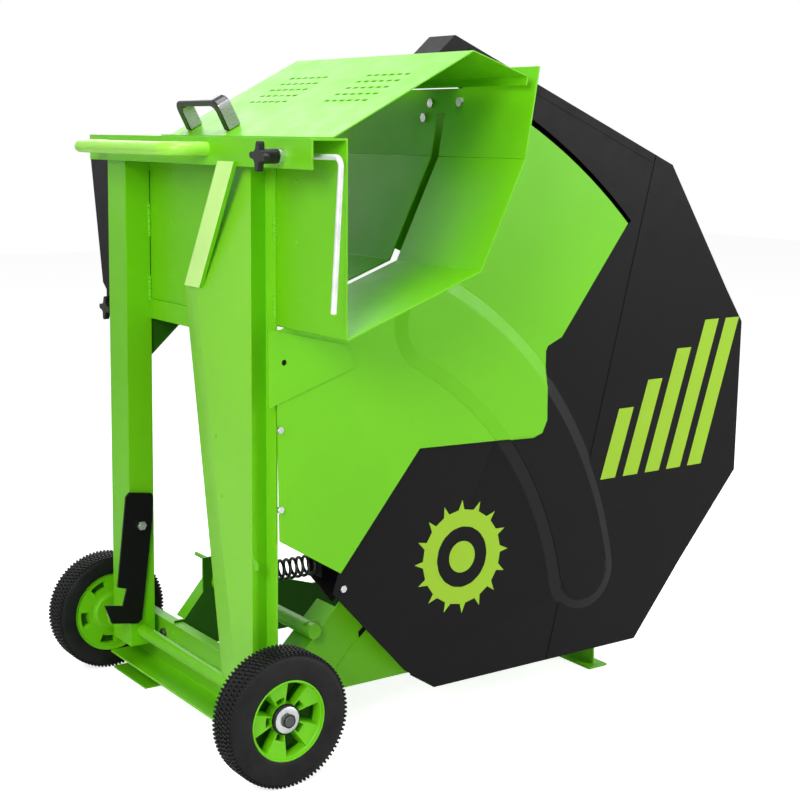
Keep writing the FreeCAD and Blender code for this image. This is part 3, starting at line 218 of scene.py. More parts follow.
# Powder coat: slow tone drift, fine orange peel, and dust that settles near the ground
powder = {"drift": 3.5, "peel": 900, "peelDepth": 0.0004, "cloud": 26, "dustTop": 0.45,
          "dustColour": (0.42, 0.38, 0.31), "dustRoughness": 0.5}


def makeCoatGroup():
    group, given, result = newGroup("powderCoat", [
        ("Colour", "NodeSocketColor", (0.5, 0.5, 0.5, 1)), ("Drift", "NodeSocketFloat", 0.06),
        ("Gloss", "NodeSocketFloat", 0.3), ("Peel", "NodeSocketFloat", 0.12),
        ("Dust", "NodeSocketFloat", 0.25)],
        [("Colour", "NodeSocketColor"), ("Roughness", "NodeSocketFloat"), ("Normal", "NodeSocketVector")])
    place = group.nodes.new("ShaderNodeTexCoord").outputs["Object"]
    slow = noiseNode(group, place, powder["drift"], 3)
    fine = noiseNode(group, place, powder["peel"], 1)
    smear = noiseNode(group, place, powder["cloud"], 5, 0.65)
    height = group.nodes.new("ShaderNodeSeparateXYZ")
    group.links.new(place, height.inputs[0])
    low = rampNode(group, height.outputs["Z"], 0.0, powder["dustTop"], 1.0, 0.0)
    cloud = rampNode(group, smear, 0.42, 0.72)
    settled = mathNode(group, "MULTIPLY", low, cloud)
    dusty = mathNode(group, "MULTIPLY", settled, given.outputs["Dust"])
    shade = rampNode(group, slow, 0.3, 0.7, -1.0, 1.0)
    tone = group.nodes.new("ShaderNodeHueSaturation")
    group.links.new(given.outputs["Colour"], tone.inputs["Color"])
    lift = mathNode(group, "MULTIPLY", shade, given.outputs["Drift"])
    group.links.new(mathNode(group, "ADD", lift, 1.0), tone.inputs["Value"])
    colour = mixColour(group, dusty, tone.outputs["Color"], powder["dustColour"])
    group.links.new(colour, result.inputs["Colour"])
    patch = rampNode(group, smear, 0.3, 0.8, -0.05, 0.09)
    rough = mathNode(group, "ADD", given.outputs["Gloss"], patch)
    dulled = mathNode(group, "MULTIPLY", dusty, powder["dustRoughness"])
    rough = mathNode(group, "ADD", rough, dulled, True)
    group.links.new(rough, result.inputs["Roughness"])
    bump = group.nodes.new("ShaderNodeBump")
    bump.inputs["Distance"].default_value = powder["peelDepth"]
    group.links.new(given.outputs["Peel"], bump.inputs["Strength"])
    group.links.new(fine, bump.inputs["Height"])
    group.links.new(bump.outputs["Normal"], result.inputs["Normal"])
    return group


coatGroup = makeCoatGroup()


def startMaterial(name):
    material = bpy.data.materials.new(name)
    material.use_nodes = True
    return material, material.node_tree, material.node_tree.nodes["Principled BSDF"]


def coatedMetal(name, colour, gloss, drift=0.05, peel=0.12, dust=0.1, coat=0.0, shine=0.5):
    material, tree, surface = startMaterial(name)
    group = tree.nodes.new("ShaderNodeGroup")
    group.node_tree = coatGroup
    for title, value in (("Colour", (*colour, 1)), ("Drift", drift), ("Gloss", gloss),
                         ("Peel", peel), ("Dust", dust)):
        group.inputs[title].default_value = value
    tree.links.new(group.outputs["Colour"], surface.inputs["Base Color"])
    tree.links.new(group.outputs["Roughness"], surface.inputs["Roughness"])
    tree.links.new(group.outputs["Normal"], surface.inputs["Normal"])
    surface.inputs["Specular IOR Level"].default_value = shine
    surface.inputs["Coat Weight"].default_value = coat
    surface.inputs["Coat Roughness"].default_value = 0.12
    return material


def plainMetal(name, colour, rough, grain=140, along=(1, 1, 1), metallic=1.0):
    # Turned, rolled or plated steel: fine streaks in the roughness and a soft blotch.
    material, tree, surface = startMaterial(name)
    place = tree.nodes.new("ShaderNodeTexCoord").outputs["Object"]
    mapping = tree.nodes.new("ShaderNodeMapping")
    mapping.inputs["Scale"].default_value = along
    tree.links.new(place, mapping.inputs["Vector"])
    streak = noiseNode(tree, mapping.outputs[0], grain, 4, 0.6)
    blotch = noiseNode(tree, place, 18, 3)
    surface.inputs["Metallic"].default_value = metallic
    darker = tuple(value * 0.72 for value in colour)
    tone = mixColour(tree, rampNode(tree, blotch, 0.35, 0.65), darker, colour)
    tree.links.new(tone, surface.inputs["Base Color"])
    polish = rampNode(tree, streak, 0.3, 0.7, rough - 0.08, rough + 0.1)
    tree.links.new(polish, surface.inputs["Roughness"])
    bump = tree.nodes.new("ShaderNodeBump")
    bump.inputs["Strength"].default_value = 0.08
    bump.inputs["Distance"].default_value = 0.0003
    tree.links.new(streak, bump.inputs["Height"])
    tree.links.new(bump.outputs["Normal"], surface.inputs["Normal"])
    return material


def moulded(name, colour, rough, grain=650, depth=0.2, shine=0.3):
    # Moulded plastic or rubber with a fine spark eroded grain.
    material, tree, surface = startMaterial(name)
    surface.inputs["Specular IOR Level"].default_value = shine
    place = tree.nodes.new("ShaderNodeTexCoord").outputs["Object"]
    fine = noiseNode(tree, place, grain, 2)
    blotch = noiseNode(tree, place, 30, 4, 0.6)
    lighter = tuple(min(1.0, value * 1.5 + 0.004) for value in colour)
    tone = mixColour(tree, rampNode(tree, blotch, 0.4, 0.7), colour, lighter)
    tree.links.new(tone, surface.inputs["Base Color"])
    polish = rampNode(tree, blotch, 0.3, 0.7, rough - 0.06, rough + 0.08)
    tree.links.new(polish, surface.inputs["Roughness"])
    bump = tree.nodes.new("ShaderNodeBump")
    bump.inputs["Strength"].default_value = depth
    bump.inputs["Distance"].default_value = 0.0004
    tree.links.new(fine, bump.inputs["Height"])
    tree.links.new(bump.outputs["Normal"], surface.inputs["Normal"])
    return material


finishes = {
    "green_paint": coatedMetal("greenCoat", (0.152, 0.56, 0.002), 0.42, dust=0.0, shine=0.34),
    "black_paint": coatedMetal("blackCoat", (0.0048, 0.0049, 0.005), 0.46, peel=0.15, dust=0.0, shine=0.12),
    "spring_steel": coatedMetal("springCoat", (0.006, 0.006, 0.006), 0.28, peel=0.1, dust=0.0, shine=0.45),
    "zinc": plainMetal("zincPlate", (0.74, 0.75, 0.76), 0.3),
    "blade_steel": plainMetal("sawSteel", (0.62, 0.63, 0.64), 0.28, 90),
    "machined_steel": plainMetal("turnedSteel", (0.36, 0.37, 0.38), 0.3, 200, (1, 6, 1)),
    "motor_stack": plainMetal("ironLaminations", (0.3, 0.24, 0.2), 0.5, 60, (1, 12, 1)),
    "motor_alloy": coatedMetal("motorGrey", (0.11, 0.12, 0.125), 0.48, peel=0.3, dust=0.2, coat=0.05),
    "black_plastic": moulded("blackPlastic", (0.0065, 0.0065, 0.0068), 0.38),
    "green_plastic": moulded("startGreen", (0.02, 0.3, 0.05), 0.32),
    "red_plastic": moulded("stopRed", (0.6, 0.015, 0.01), 0.32),
    "nylon": moulded("nylonBush", (0.72, 0.7, 0.62), 0.5),
    "tyre_rubber": moulded("tyreRubber", (0.0075, 0.0077, 0.0078), 0.5, 420, 0.3, 0.16),
}
print("materials made")


# Sheet metal: a copy of the node's own shape, with its folds and cut edges rounded
def cleanCopy(node, name):
    mesh = nodes[node].data.copy()
    mesh.name = name
    work = bmesh.new()
    work.from_mesh(mesh)
    bmesh.ops.remove_doubles(work, verts=work.verts, dist=0.00002)
    bmesh.ops.dissolve_limit(work, angle_limit=math.radians(1), verts=work.verts, edges=work.edges)
    work.to_mesh(mesh)
    work.free()
    mesh.materials.clear()
    piece = bpy.data.objects.new(name, mesh)
    bpy.context.scene.collection.objects.link(piece)
    return piece


def finishPiece(piece, body, slot, material=None):
    piece.data.materials.append(material or finishes[slot])
    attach(piece, body)
    return piece


def smoothed(piece, degrees=35):
    piece.data.polygons.foreach_set("use_smooth", [True] * len(piece.data.polygons))
    piece.data.set_sharp_from_angle(angle=math.radians(degrees))
    return piece


def rounded(piece, width, segments=2):
    bevel = piece.modifiers.new("edges", "BEVEL")
    bevel.width = width
    bevel.segments = segments
    bevel.limit_method = "ANGLE"
    bevel.angle_limit = math.radians(40)
    bevel.use_clamp_overlap = True
    bevel.harden_normals = True
    return piece


# How far each sheet or casting has its edges rounded, in millimetres
edgeRounding = {
    "front_wall": 0.9, "trough_floor": 0.9, "back_wall": 0.9, "hood": 0.6, "near_leg": 0.9,
    "far_leg": 2.2, "leg_brace": 1.6, "cross_beam": 0.8, "gussets": 0.8, "near_panel": 0.6,
    "panel_brackets": 0.5, "far_panel": 0.6, "front_channel": 1.2, "near_rail": 1.0,
    "far_rail": 1.0, "cross_members": 1.0, "feet": 0.9, "guard_front": 0.6, "guard_back": 0.6,
    "guard_rim": 0.6, "motor_mount": 0.8, "spring_bracket": 0.9, "latch_hook": 0.9,
    "trough_extension": 0.8, "bridge_grip": 3.0, "stop_knob": 2.6, "extension_knob": 2.6,
    "switch_box": 1.8, "switch_cover": 1.0, "start_button": 1.4, "stop_button": 1.6,
    "power_inlet": 0.8, "fan_cowl": 0.8, "motor_shields": 1.2,
    "rocker_bolts": 0.5, "base_bolts": 0.5,
}


# Painted light and shade: a lighter green for lit faces, a pale green for a painted highlight, a dark green for
# painted shade
paintedLightGreen = coatedMetal("greenCoatPaintedLight", (0.21, 0.645, 0.014), 0.38, dust=0.0, shine=0.5)
paintedHighlightGreen = coatedMetal("greenCoatPaintedHighlight", (0.6, 0.96, 0.27), 0.36, dust=0.0, shine=0.6)
paintedShadeGreen = coatedMetal("greenCoatPaintedShade", (0.018, 0.105, 0.002), 0.45, dust=0.0, shine=0.2)
darkSteel = plainMetal("darkSteel", (0.13, 0.13, 0.135), 0.38)
gripSide = plainMetal("gripSide", (0.42, 0.42, 0.43), 0.3, 160, (1, 1, 4), 0.3)
# Faces with another coat: the piece, which of its faces, the coat. Painted light on the forward faces of the near
# leg and the front channel, a painted highlight on the brace's front, painted shade on the far rail's web and on
# the far gussets' near faces; the far base bolts in darker steel and the grip's sides in grey metal.
facetCoats = (("near_leg", lambda face: face.normal.x < -0.8, paintedLightGreen),
              ("front_channel", lambda face: face.normal.x < -0.3, paintedLightGreen),
              ("far_rail", lambda face: face.normal.y < -0.9, paintedShadeGreen),
              ("gussets", lambda face: face.normal.y < -0.5 and face.center.y > pivot.y + 0.3, paintedShadeGreen),
              ("base_bolts", lambda face: face.center.y > pivot.y + 0.25, darkSteel),
              ("bridge_grip", lambda face: face.normal.y < -0.6 and face.normal.z < 0.5, gripSide),
              ("leg_brace", lambda face: face.normal.x < -0.5, paintedHighlightGreen))


# Pieces with a finish of their own. The bow's lighter, glossier green is a painted highlight.
ownFinishes = {
    "stop_rod": plainMetal("drawnRod", (0.86, 0.88, 0.86), 0.5, metallic=0.35),
    "bow_handle": coatedMetal("greenCoatTubeHighlight", (0.32, 0.78, 0.05), 0.34, dust=0.0, shine=0.6),
    "bridge_grip": moulded("gripPlastic", (0.006, 0.006, 0.0062), 0.22, 500, 0.12, 0.6),
}


def recoatFacets(node, piece):
    for name, chosen, coat in facetCoats:
        if name == node:
            piece.data.materials.append(coat)
            for face in piece.data.polygons:
                if chosen(face):
                    face.material_index = len(piece.data.materials) - 1


def dressNodes():
    for node, width in edgeRounding.items():
        piece = cleanCopy(node, node + "_body")
        smoothed(piece)
        rounded(piece, width * mm)
        finishPiece(piece, bodyOf[node], slotOf[node], ownFinishes.get(node))
        recoatFacets(node, piece)
        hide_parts(node)
    for node, held in nodes.items():
        if node not in edgeRounding:
            held.data.materials.clear()
            held.data.materials.append(ownFinishes.get(node, finishes[slotOf[node]]))


dressNodes()
print("sheet metal dressed")


# Pieces built from coordinates in millimetres about the wheel axle
def builtPiece(name, corners, faces, body, slot, material=None, smooth=None):
    mesh = bpy.data.meshes.new(name)
    placed = np.asarray(corners, float) * mm + np.array(pivot)
    mesh.from_pydata(placed.tolist(), [], [tuple(face) for face in faces])
    mesh.validate()
    work = bmesh.new()
    work.from_mesh(mesh)
    bmesh.ops.remove_doubles(work, verts=work.verts, dist=0.000001)
    loose = [edge for edge in work.edges if not edge.link_faces]
    bmesh.ops.delete(work, geom=loose, context="EDGES")
    bmesh.ops.recalc_face_normals(work, faces=work.faces)
    work.to_mesh(mesh)
    work.free()
    piece = bpy.data.objects.new(name, mesh)
    bpy.context.scene.collection.objects.link(piece)
    if smooth:
        smoothed(piece, smooth)
    return finishPiece(piece, body, slot, material)


def gridFaces(rows, columns, loopRows=False, loopColumns=False):
    # The four corners of every cell of a grid of points, row by row.
    row, column = np.meshgrid(np.arange(rows if loopRows else rows - 1),
                              np.arange(columns if loopColumns else columns - 1), indexing="ij")
    nextRow = (row + 1) % rows
    nextColumn = (column + 1) % columns
    cells = np.stack([row * columns + column, nextRow * columns + column,
                      nextRow * columns + nextColumn, row * columns + nextColumn], axis=-1)
    return cells.reshape(-1, 4)


def turnSteps(steps):
    return np.linspace(0, 2 * np.pi, steps, endpoint=False)


def aroundAxle(radius, along, angle):
    # Points at a radius and a place along the axle: x goes by the sine of the angle and z by its cosine.
    radius, along, angle = np.broadcast_arrays(radius, along, angle)
    return np.stack([radius * np.sin(angle), along, radius * np.cos(angle)], axis=-1)


def turned(outline, steps):
    # A closed outline of radius and place along the axle, turned about the axle.
    radius, along = np.transpose(outline)
    points = aroundAxle(radius, along, turnSteps(steps)[:, None])
    return points.reshape(-1, 3), gridFaces(steps, len(outline), True, True)


def cappedRings(rows, columns):
    # Rings of points joined one to the next, with a cap at each end.
    last = (rows - 1) * columns
    caps = [list(range(columns)), list(range(last, last + columns))[::-1]]
    return gridFaces(rows, columns, False, True).tolist() + caps


trackWidth = 620  # from the near wheel's middle to the far wheel's


def acrossTrack(corners, far):
    # The far wheel is the near one's mirror image, a track's width away.
    return corners * (1, -1, 1) + (0, trackWidth, 0) if far else corners


# Tyre: a sidewall as radius and half width, the step in its inner side that takes the rim's broad flange,
# and rows of blocks. A row has the blocks' inner and outer radius, both ends from the tyre's middle, how
# far it is turned in steps, half a block's width, and the share of it that is left at the top.
tyre = {"steps": 180, "crown": (99, 0), "blocks": 92, "blockEdge": 0.5,
        "sidewall": [(61, 24.6), (63, 26), (67, 26.6), (76, 26.9), (88, 26.7), (94, 25.8), (97.2, 23.6),
                     (98.4, 19), (98.8, 12)],
        "flangeStep": [(61, 21.5), (70.2, 21.5), (70.6, 26.2)],
        "rows": [(96.2, 100.6, 19.4, 25.2, 0, 1.9, 0.8), (97.0, 101.4, 13.4, 18.4, 0.5, 2.0, 0.8),
                 (97.5, 101.4, 0.5, 5.9, 0, 2.1, 0.85), (97.5, 101.4, 6.9, 12.4, 0.5, 2.1, 0.85)]}
# A block's faces, with its corners counted by height, then by end, then by side
blockFaces = np.array([[0, 1, 3, 2], [4, 6, 7, 5], [0, 4, 5, 1], [2, 3, 7, 6], [0, 2, 6, 4], [1, 5, 7, 3]])


def blockRing(way, inner, outer, near, away, shift, half, topShare):
    # Blocks round the tyre. Each corner stands half a width to one side of its block's angle.
    angle = (np.arange(tyre["blocks"]) + shift) * 2 * np.pi / tyre["blocks"]
    corners = [aroundAxle(radius, way * along, angle + side * width / radius)
               for radius, width in ((inner, half), (outer, half * topShare))
               for along in (near, away) for side in (-1, 1)]
    return np.stack(corners, axis=1).reshape(-1, 3)


def buildTyre(node, far):
    # A turned carcass with bulging sidewalls, and rows of blocks that stand half a step apart.
    outer = [(radius, -along) for radius, along in tyre["sidewall"]]
    inner = tyre["flangeStep"] + tyre["sidewall"][len(tyre["flangeStep"]):]
    carcass, carcassFaces = turned(outer + [tyre["crown"]] + inner[::-1], tyre["steps"])
    piece = builtPiece(node + "_carcass", acrossTrack(carcass, far), carcassFaces, bodyOf[node],
                       slotOf[node], smooth=50)
    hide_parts(node)
    tread = np.concatenate([blockRing(way, *row) for row in tyre["rows"] for way in (-1, 1)])
    first = np.arange(0, len(tread), 8)[:, None, None]
    piece = builtPiece(node + "_tread", acrossTrack(tread, far), (first + blockFaces).reshape(-1, 4),
                       bodyOf[node], slotOf[node])
    rounded(piece, tyre["blockEdge"] * mm, 1)
    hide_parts(node)


def softStep(low, high, value):
    # Nought before low and one past high, eased at both ends. With low above high it falls instead.
    share = np.clip((value - low) / (high - low), 0, 1)
    return share * share * (3 - 2 * share)


# Rim: each side is a profile of radius and place along the axle, turned in five like parts. A well is sunk
# in each part, between an inner and an outer edge. Its side is an edge in angle, which counts from 1 at the
# well's turn to 0 half a part away: pockets lie above it, notches and windows below.
rim = {"parts": 5, "steps": 288,
       "outerRadius": np.r_[12, 12.2, 16.6, 17.2, 18:55.8:43j, 56.3, 56.8, 57.4, 58.2, 59.2, 60.2, 60.8,
                            60.9],
       "outerProfile": [(12, -17.6), (16.6, -17.6), (17.2, -13.6), (24, -13.0), (55.8, -19.5), (57.4, -21.5),
                        (58.2, -25.0), (59.2, -25.8), (60.6, -25.4), (60.9, -24.4)],
       "flange": [(60.9, 21.3), (69.6, 21.7), (69.8, 23)],
       "innerRadius": np.r_[69, 68.2, 67.4, 66, 64:32:33j, 31:17:8j, 12.2, 12],
       "innerProfile": [(12, 24.8), (29, 24.8), (32, 22.6), (36, 21.4), (64, 21.6), (67.4, 24.6), (69, 25.9)],
       "collar": [(16.8, -18.4), (21.8, -18.4), (22.8, -17.2), (22.8, -12.8), (16.8, -12.8)]}
pocket = {"turn": 0.27, "side": (0.50, 0.56), "inner": (22.5, 23.8), "outer": (55.8, 54.4), "sink": 25}
notch = {"turn": 0.27, "side": (0.35, 0.30), "inner": (23.8, 24.8), "outer": (33.4, 32.4), "sink": 16}
window = {"turn": 0.12, "side": (0.42, 0.36), "inner": (44, 45.2), "outer": (58.2, 57), "sink": -10}


def rimSide(radius, along, wells):
    # One side of the rim, and which of its points lie deep in a well, where painted shade goes.
    reach, turn = np.meshgrid(radius, turnSteps(rim["steps"]))
    place = along + 0 * reach
    deepShade = np.zeros(reach.shape, bool)
    for well in wells:
        toTurn = np.abs((turn * rim["parts"] / (2 * np.pi) - well["turn"]) % 1 - 0.5) * 2
        mask = softStep(*well["side"], toTurn) * softStep(*well["inner"], reach)
        mask = mask * softStep(*well["outer"], reach)
        place = place + well["sink"] * mask
        deepShade |= mask > 0.5
    return aroundAxle(reach, place, turn), deepShade


def buildRim(node, far):
    # A moulded rim: its outer side, its flange and its inner side are one closed loop, turned.
    along = np.interp(rim["outerRadius"], *np.transpose(rim["outerProfile"]))
    outer, outerShade = rimSide(rim["outerRadius"], along, [pocket, notch])
    flangeRadius, flangeAlong = np.transpose(rim["flange"])
    along = np.interp(rim["innerRadius"], *np.transpose(rim["innerProfile"]))
    inner, innerShade = rimSide(np.concatenate([flangeRadius, rim["innerRadius"]]),
                               np.concatenate([flangeAlong, along]), [window])
    loop = np.concatenate([outer, inner], axis=1)
    piece = builtPiece(node + "_moulding", acrossTrack(loop.reshape(-1, 3), far),
                       gridFaces(*loop.shape[:2], True, True), bodyOf[node], slotOf[node], smooth=38)
    # Faces deep in the wells take a dark green: painted shade.
    piece.data.materials.append(paintedShadeGreen)
    recoat(piece, np.concatenate([outerShade, innerShade], axis=1).reshape(-1))
    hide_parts(node)
    collar, collarFaces = turned(rim["collar"], 64)
    builtPiece(node + "_collar", acrossTrack(collar, far), collarFaces, bodyOf[node], slotOf[node],
               finishes["black_plastic"], 40)


def recoat(piece, chosen):
    # Gives the second material to each face whose corners are all chosen.
    corner = np.empty(len(piece.data.loops), int)
    first = np.empty(len(piece.data.polygons), int)
    piece.data.loops.foreach_get("vertex_index", corner)
    piece.data.polygons.foreach_get("loop_start", first)
    second = np.minimum.reduceat(chosen[corner].astype(int), first)
    piece.data.polygons.foreach_set("material_index", second)


# Axle and its ends: turned outlines, and the nut's six corners as rings of size and place
axleEnds = {"bar": [(0, -27.6), (7.0, -27.6), (7.94, -26.8), (7.94, 646.8), (7.0, 647.6), (0, 647.6)],
            "washer": [(8.2, -20.6), (18.9, -20.6), (19.7, -20.0), (19.7, -18.5), (8.2, -18.5)],
            "insert": [(7.9, -25.4), (10.2, -25.4), (9.8, -26.8), (7.9, -26.8)],
            "nutRadius": 11.6, "nutEdge": 0.3,
            "nutRings": [(0.94, -20.7), (1.0, -21.3), (1.0, -24.8), (0.9, -25.6)]}


def buildAxleNuts():
    # A broad bright washer and a lock nut with its dark insert at each end of the axle.
    size, along = np.transpose(axleEnds["nutRings"])[:, :, None]
    nut = aroundAxle(size * axleEnds["nutRadius"], along, turnSteps(6)).reshape(-1, 3)
    for side, far in (("near", False), ("far", True)):
        for part, (points, cells), finish, smooth in (
                ("washer", turned(axleEnds["washer"], 96), finishes["zinc"], 40),
                ("nut", (nut, cappedRings(len(size), 6)), darkSteel, None),
                ("insert", turned(axleEnds["insert"], 64), finishes["black_plastic"], 40)):
            piece = builtPiece(f"axle_{part}_{side}", acrossTrack(points, far), cells, bodyOf["axle_nuts"],
                               slotOf["axle_nuts"], finish, smooth)
            if part == "nut":
                rounded(piece, axleEnds["nutEdge"] * mm)
            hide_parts("axle_nuts")


buildAxleNuts()
axle = builtPiece("axle_bar", *turned(axleEnds["bar"], 48), bodyOf["axle"], slotOf["axle"], darkSteel, 30)
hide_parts("axle")
for side, far in (("near", False), ("far", True)):
    buildTyre(side + "_tyre", far)
for side, far in (("near", False), ("far", True)):
    buildRim(side + "_rim", far)
print("wheels built")


# Pressed bands: the arc's radius, how wide the slope beside the flat top is, the gap between both, how far
# the slope's foot lies in the sheet, and the shell's own wall
band = {"middle": 635.0, "slope": 22.0, "gap": 0.2, "foot": 0.3, "wall": 0.8}


def pressedBand(name, node, face, half, start, end, rise, step, steps, limit=None, slopeSheen=None):
    # A band along an arc about the pivot. Its height is the rise out to half its width. From there it
    # falls by the step at once, and then in a straight line to the sheet. Its first end is round, and so
    # is the other where it has no limit.
    middle, slope = band["middle"], band["slope"]
    down = np.linspace(half + band["gap"], half + slope, 12)
    across = np.concatenate([-down[::-1], np.linspace(-half, half, 27), down])
    tip = math.degrees((half + slope) / middle)
    angles = np.linspace(start - tip, end if limit else end + tip, steps)
    offset, turn = np.meshgrid(across, np.radians(angles))
    past = np.maximum(np.radians(start) - turn, 0)
    if not limit:
        past = past + np.maximum(turn - np.radians(end), 0)
    away = np.hypot(offset, past * middle)
    falling = np.maximum((rise - step) * (half + slope - away) / slope, -band["foot"])
    height = np.where(away <= half, rise, falling)
    corners = aroundAxle(middle + offset, face - height, turn).reshape(-1, 3)
    cells = gridFaces(len(angles), len(across))
    if limit:
        cells = cells[limit(corners[:, 0], corners[:, 2])[cells].all(axis=1)]
    used = np.unique(cells)
    renamed = np.zeros(len(corners), int)
    renamed[used] = np.arange(len(used))
    piece = builtPiece(name, corners[used], renamed[cells], bodyOf[node], slotOf[node], smooth=25)
    # The slopes take the second coat: painted sheen on the guard's band.
    if slopeSheen:
        piece.data.materials.append(slopeSheen)
        recoat(piece, (away > half).reshape(-1)[used])
    if sum(patch.normal.y * patch.area for patch in piece.data.polygons) > 0:
        piece.data.flip_normals()
    wall = piece.modifiers.new("wall", "SOLIDIFY")
    wall.thickness = band["wall"] * mm
    wall.offset = -1


# The near side sheet's lower and right edges, as x and height, closed far outside the sheet
panelEdge = [(-9000, 362), (278, 362), (504, 355), (523, 361), (533, 382), (533, 497), (537, 505), (567, 518),
             (638, 610), (709, 701), (709, 9000), (-9000, 9000)]


def insidePanel(x, z):
    # True where a line from the point to the right crosses the edge an odd number of times.
    inside = np.zeros(len(x), bool)
    for (x0, z0), (x1, z1) in zip(panelEdge, panelEdge[1:] + panelEdge[:1]):
        if z0 != z1:
            inside ^= ((z0 > z) != (z1 > z)) & (x < x0 + (z - z0) * (x1 - x0) / (z1 - z0))
    return inside


pressedBand("near_panel_band", "near_panel", face=41, half=55, start=28.5, end=66, rise=6.06, step=0,
            steps=420, limit=insidePanel)
# A paler black for the guard band's slopes: painted sheen.
paintedSheenBlack = coatedMetal("blackCoatPaintedSheen", (0.0125, 0.0127, 0.013), 0.44, peel=0.15, dust=0.0, shine=0.16)
pressedBand("guard_front_band", "guard_front", face=48, half=52, start=52, end=80, rise=6.06, step=1.2,
            steps=260, slopeSheen=paintedSheenBlack)
print("bands pressed")


def flatPlate(name, outline, y0, y1, body, slot, material=None):
    # A plate between two places along the axle, from a closed outline in the side view.
    x, z = np.transpose(outline)
    corners = np.concatenate([np.stack([x, y + 0 * x, z], axis=-1) for y in (y0, y1)])
    return builtPiece(name, corners, cappedRings(2, len(outline)), body, slot, material)


lime = coatedMetal("limePrint", (0.30, 0.53, 0.012), 0.45, drift=0.02, peel=0.05, dust=0, shine=0.4)
# Guard: sheets laid on its front, and printed slashes and a toothed ring. Places are x and height.
guard = {"sheet": 48.01, "skinFront": 46.9, "stripFront": 47.3, "slashFront": 46.78, "ringFront": 47.88,
         "skinEdge": 0.5, "stripEdge": 0.3,
         "skin": [(779, 819.5), (819, 801), (962, 575.5), (1003, 514.5), (994, 240.5), (858.3, 90),
                  (751.5, -35), (549, -35)],
         "strip": [(372, 987), (776, 812), (772, 806), (370, 980)]}
slash = {"low": 262, "width": 34, "lean": 0.34,
         "rising": [(664, 120), (716, 165), (768, 215), (820, 262), (872, 262)]}
# The ring's teeth: each has three corners, at shares of its step and at a radius
ring = {"teeth": 16, "middle": (368, 172), "hole": 50, "core": 26, "coreSteps": 40,
        "tooth": [(0.0, 94), (0.12, 78), (0.75, 78)]}


def dressGuard():
    body, slot = bodyOf["guard_front"], slotOf["guard_front"]
    sheet = guard["sheet"]
    skin = flatPlate("guard_overlap", guard["skin"], guard["skinFront"], sheet, body, slot)
    rounded(skin, guard["skinEdge"] * mm)
    strip = flatPlate("guard_top_strip", guard["strip"], guard["stripFront"], sheet, body, slot)
    rounded(strip, guard["stripEdge"] * mm)
    low, width = slash["low"], slash["width"]
    for index, (x, run) in enumerate(slash["rising"]):
        top = x + run * slash["lean"]
        shape = [(x, low), (x + width, low), (top + width, low + run), (top, low + run)]
        flatPlate(f"guard_slash_{index}", shape, guard["slashFront"], guard["skinFront"], body, slot, lime)
    share, outer = np.transpose(ring["tooth"])
    angle = (np.arange(ring["teeth"])[:, None] + share).reshape(-1) * 2 * np.pi / ring["teeth"]
    front, middle = guard["ringFront"], np.array([ring["middle"][0], 0, ring["middle"][1]])
    loops = [(np.tile(outer, ring["teeth"]), front), (ring["hole"], front), (ring["hole"], sheet),
             (np.tile(outer, ring["teeth"]), sheet)]
    corners = np.concatenate([aroundAxle(radius, along, angle) for radius, along in loops]) + middle
    builtPiece("guard_ring", corners, gridFaces(len(loops), len(angle), True, True), body, slot, lime)
    core = (aroundAxle(ring["core"], 0, turnSteps(ring["coreSteps"])) + middle)[:, [0, 2]]
    flatPlate("guard_ring_core", core, front, sheet, body, slot, lime)


dressGuard()
print("guard dressed")


def unitGrid(outline, sides):
    # A unit profile of radius and height turned about its height: one ring of points for each corner.
    radius, height = np.transpose(outline)[:, :, None]
    turn = turnSteps(sides)
    return np.stack([radius * np.cos(turn), radius * np.sin(turn), height + 0 * turn], axis=-1).reshape(-1, 3)


def scattered(unit, rows, sides, centres, sizes):
    # Copies of a unit grid, each with its own size about its own centre.
    points = np.asarray(centres, float)[:, None] + unit[None] * np.asarray(sizes, float)[:, None]
    first = np.arange(len(points))[:, None, None] * len(unit)
    faces = gridFaces(rows, sides, False, True)[None] + first
    return points.reshape(-1, 3), faces.reshape(-1, 4)


# Welds: where each run starts and ends, and the size of its scales. The scales lie a share of their size
# apart and swell in two waves, each with its share and its pace.
weld = {"pitch": 0.75, "waves": [(0.22, 2.4), (0.12, 5.1)], "rings": 6, "sides": 10}
wallWelds = [((21.0, 470.6, 681), (21.0, 470.6, 732), 3.3), ((21.0, 470.6, 571), (21.0, 470.6, 613), 3.3),
             ((21.0, 50.5, 696), (21.0, 50.5, 734), 3.1), ((21.0, 50.5, 578), (21.0, 50.5, 621), 3.1),
             ((21.5, 48.5, 790), (21.5, 48.5, 806), 2.2)]
baseWelds = [((138, 121.5, 86), (112, 121.5, 86), 2.2), ((37.5, 116.5, 4), (37.5, 116.5, -40), 2.4),
             ((37.5, 428.5, 4), (37.5, 428.5, -40), 2.4), ((114, 428.0, 84), (137, 428.0, 80), 2.2)]


def weldBeads(name, runs, body):
    # Overlapping scales of weld metal along straight runs. A scale is a ball.
    polar = np.linspace(0, np.pi, weld["rings"])
    unit = unitGrid(np.stack([np.sin(polar), np.cos(polar)], axis=-1), weld["sides"])
    centres, sizes = [], []
    for start, end, size in runs:
        start, end = np.array(start, float), np.array(end, float)
        count = max(2, int(np.linalg.norm(end - start) / (size * weld["pitch"])))
        index = np.arange(count)
        centres.append(start + (end - start) * ((index + 0.5) / count)[:, None])
        sizes.append(size * (1 + sum(share * np.sin(index * pace) for share, pace in weld["waves"])))
    balls = np.concatenate(sizes)[:, None] * np.ones(3)
    points, faces = scattered(unit, weld["rings"], weld["sides"], np.concatenate(centres), balls)
    builtPiece(name, points, faces, body, "green_paint", smooth=80)


weldBeads("wall_welds", wallWelds, "rocker")
weldBeads("base_welds", baseWelds, "base")


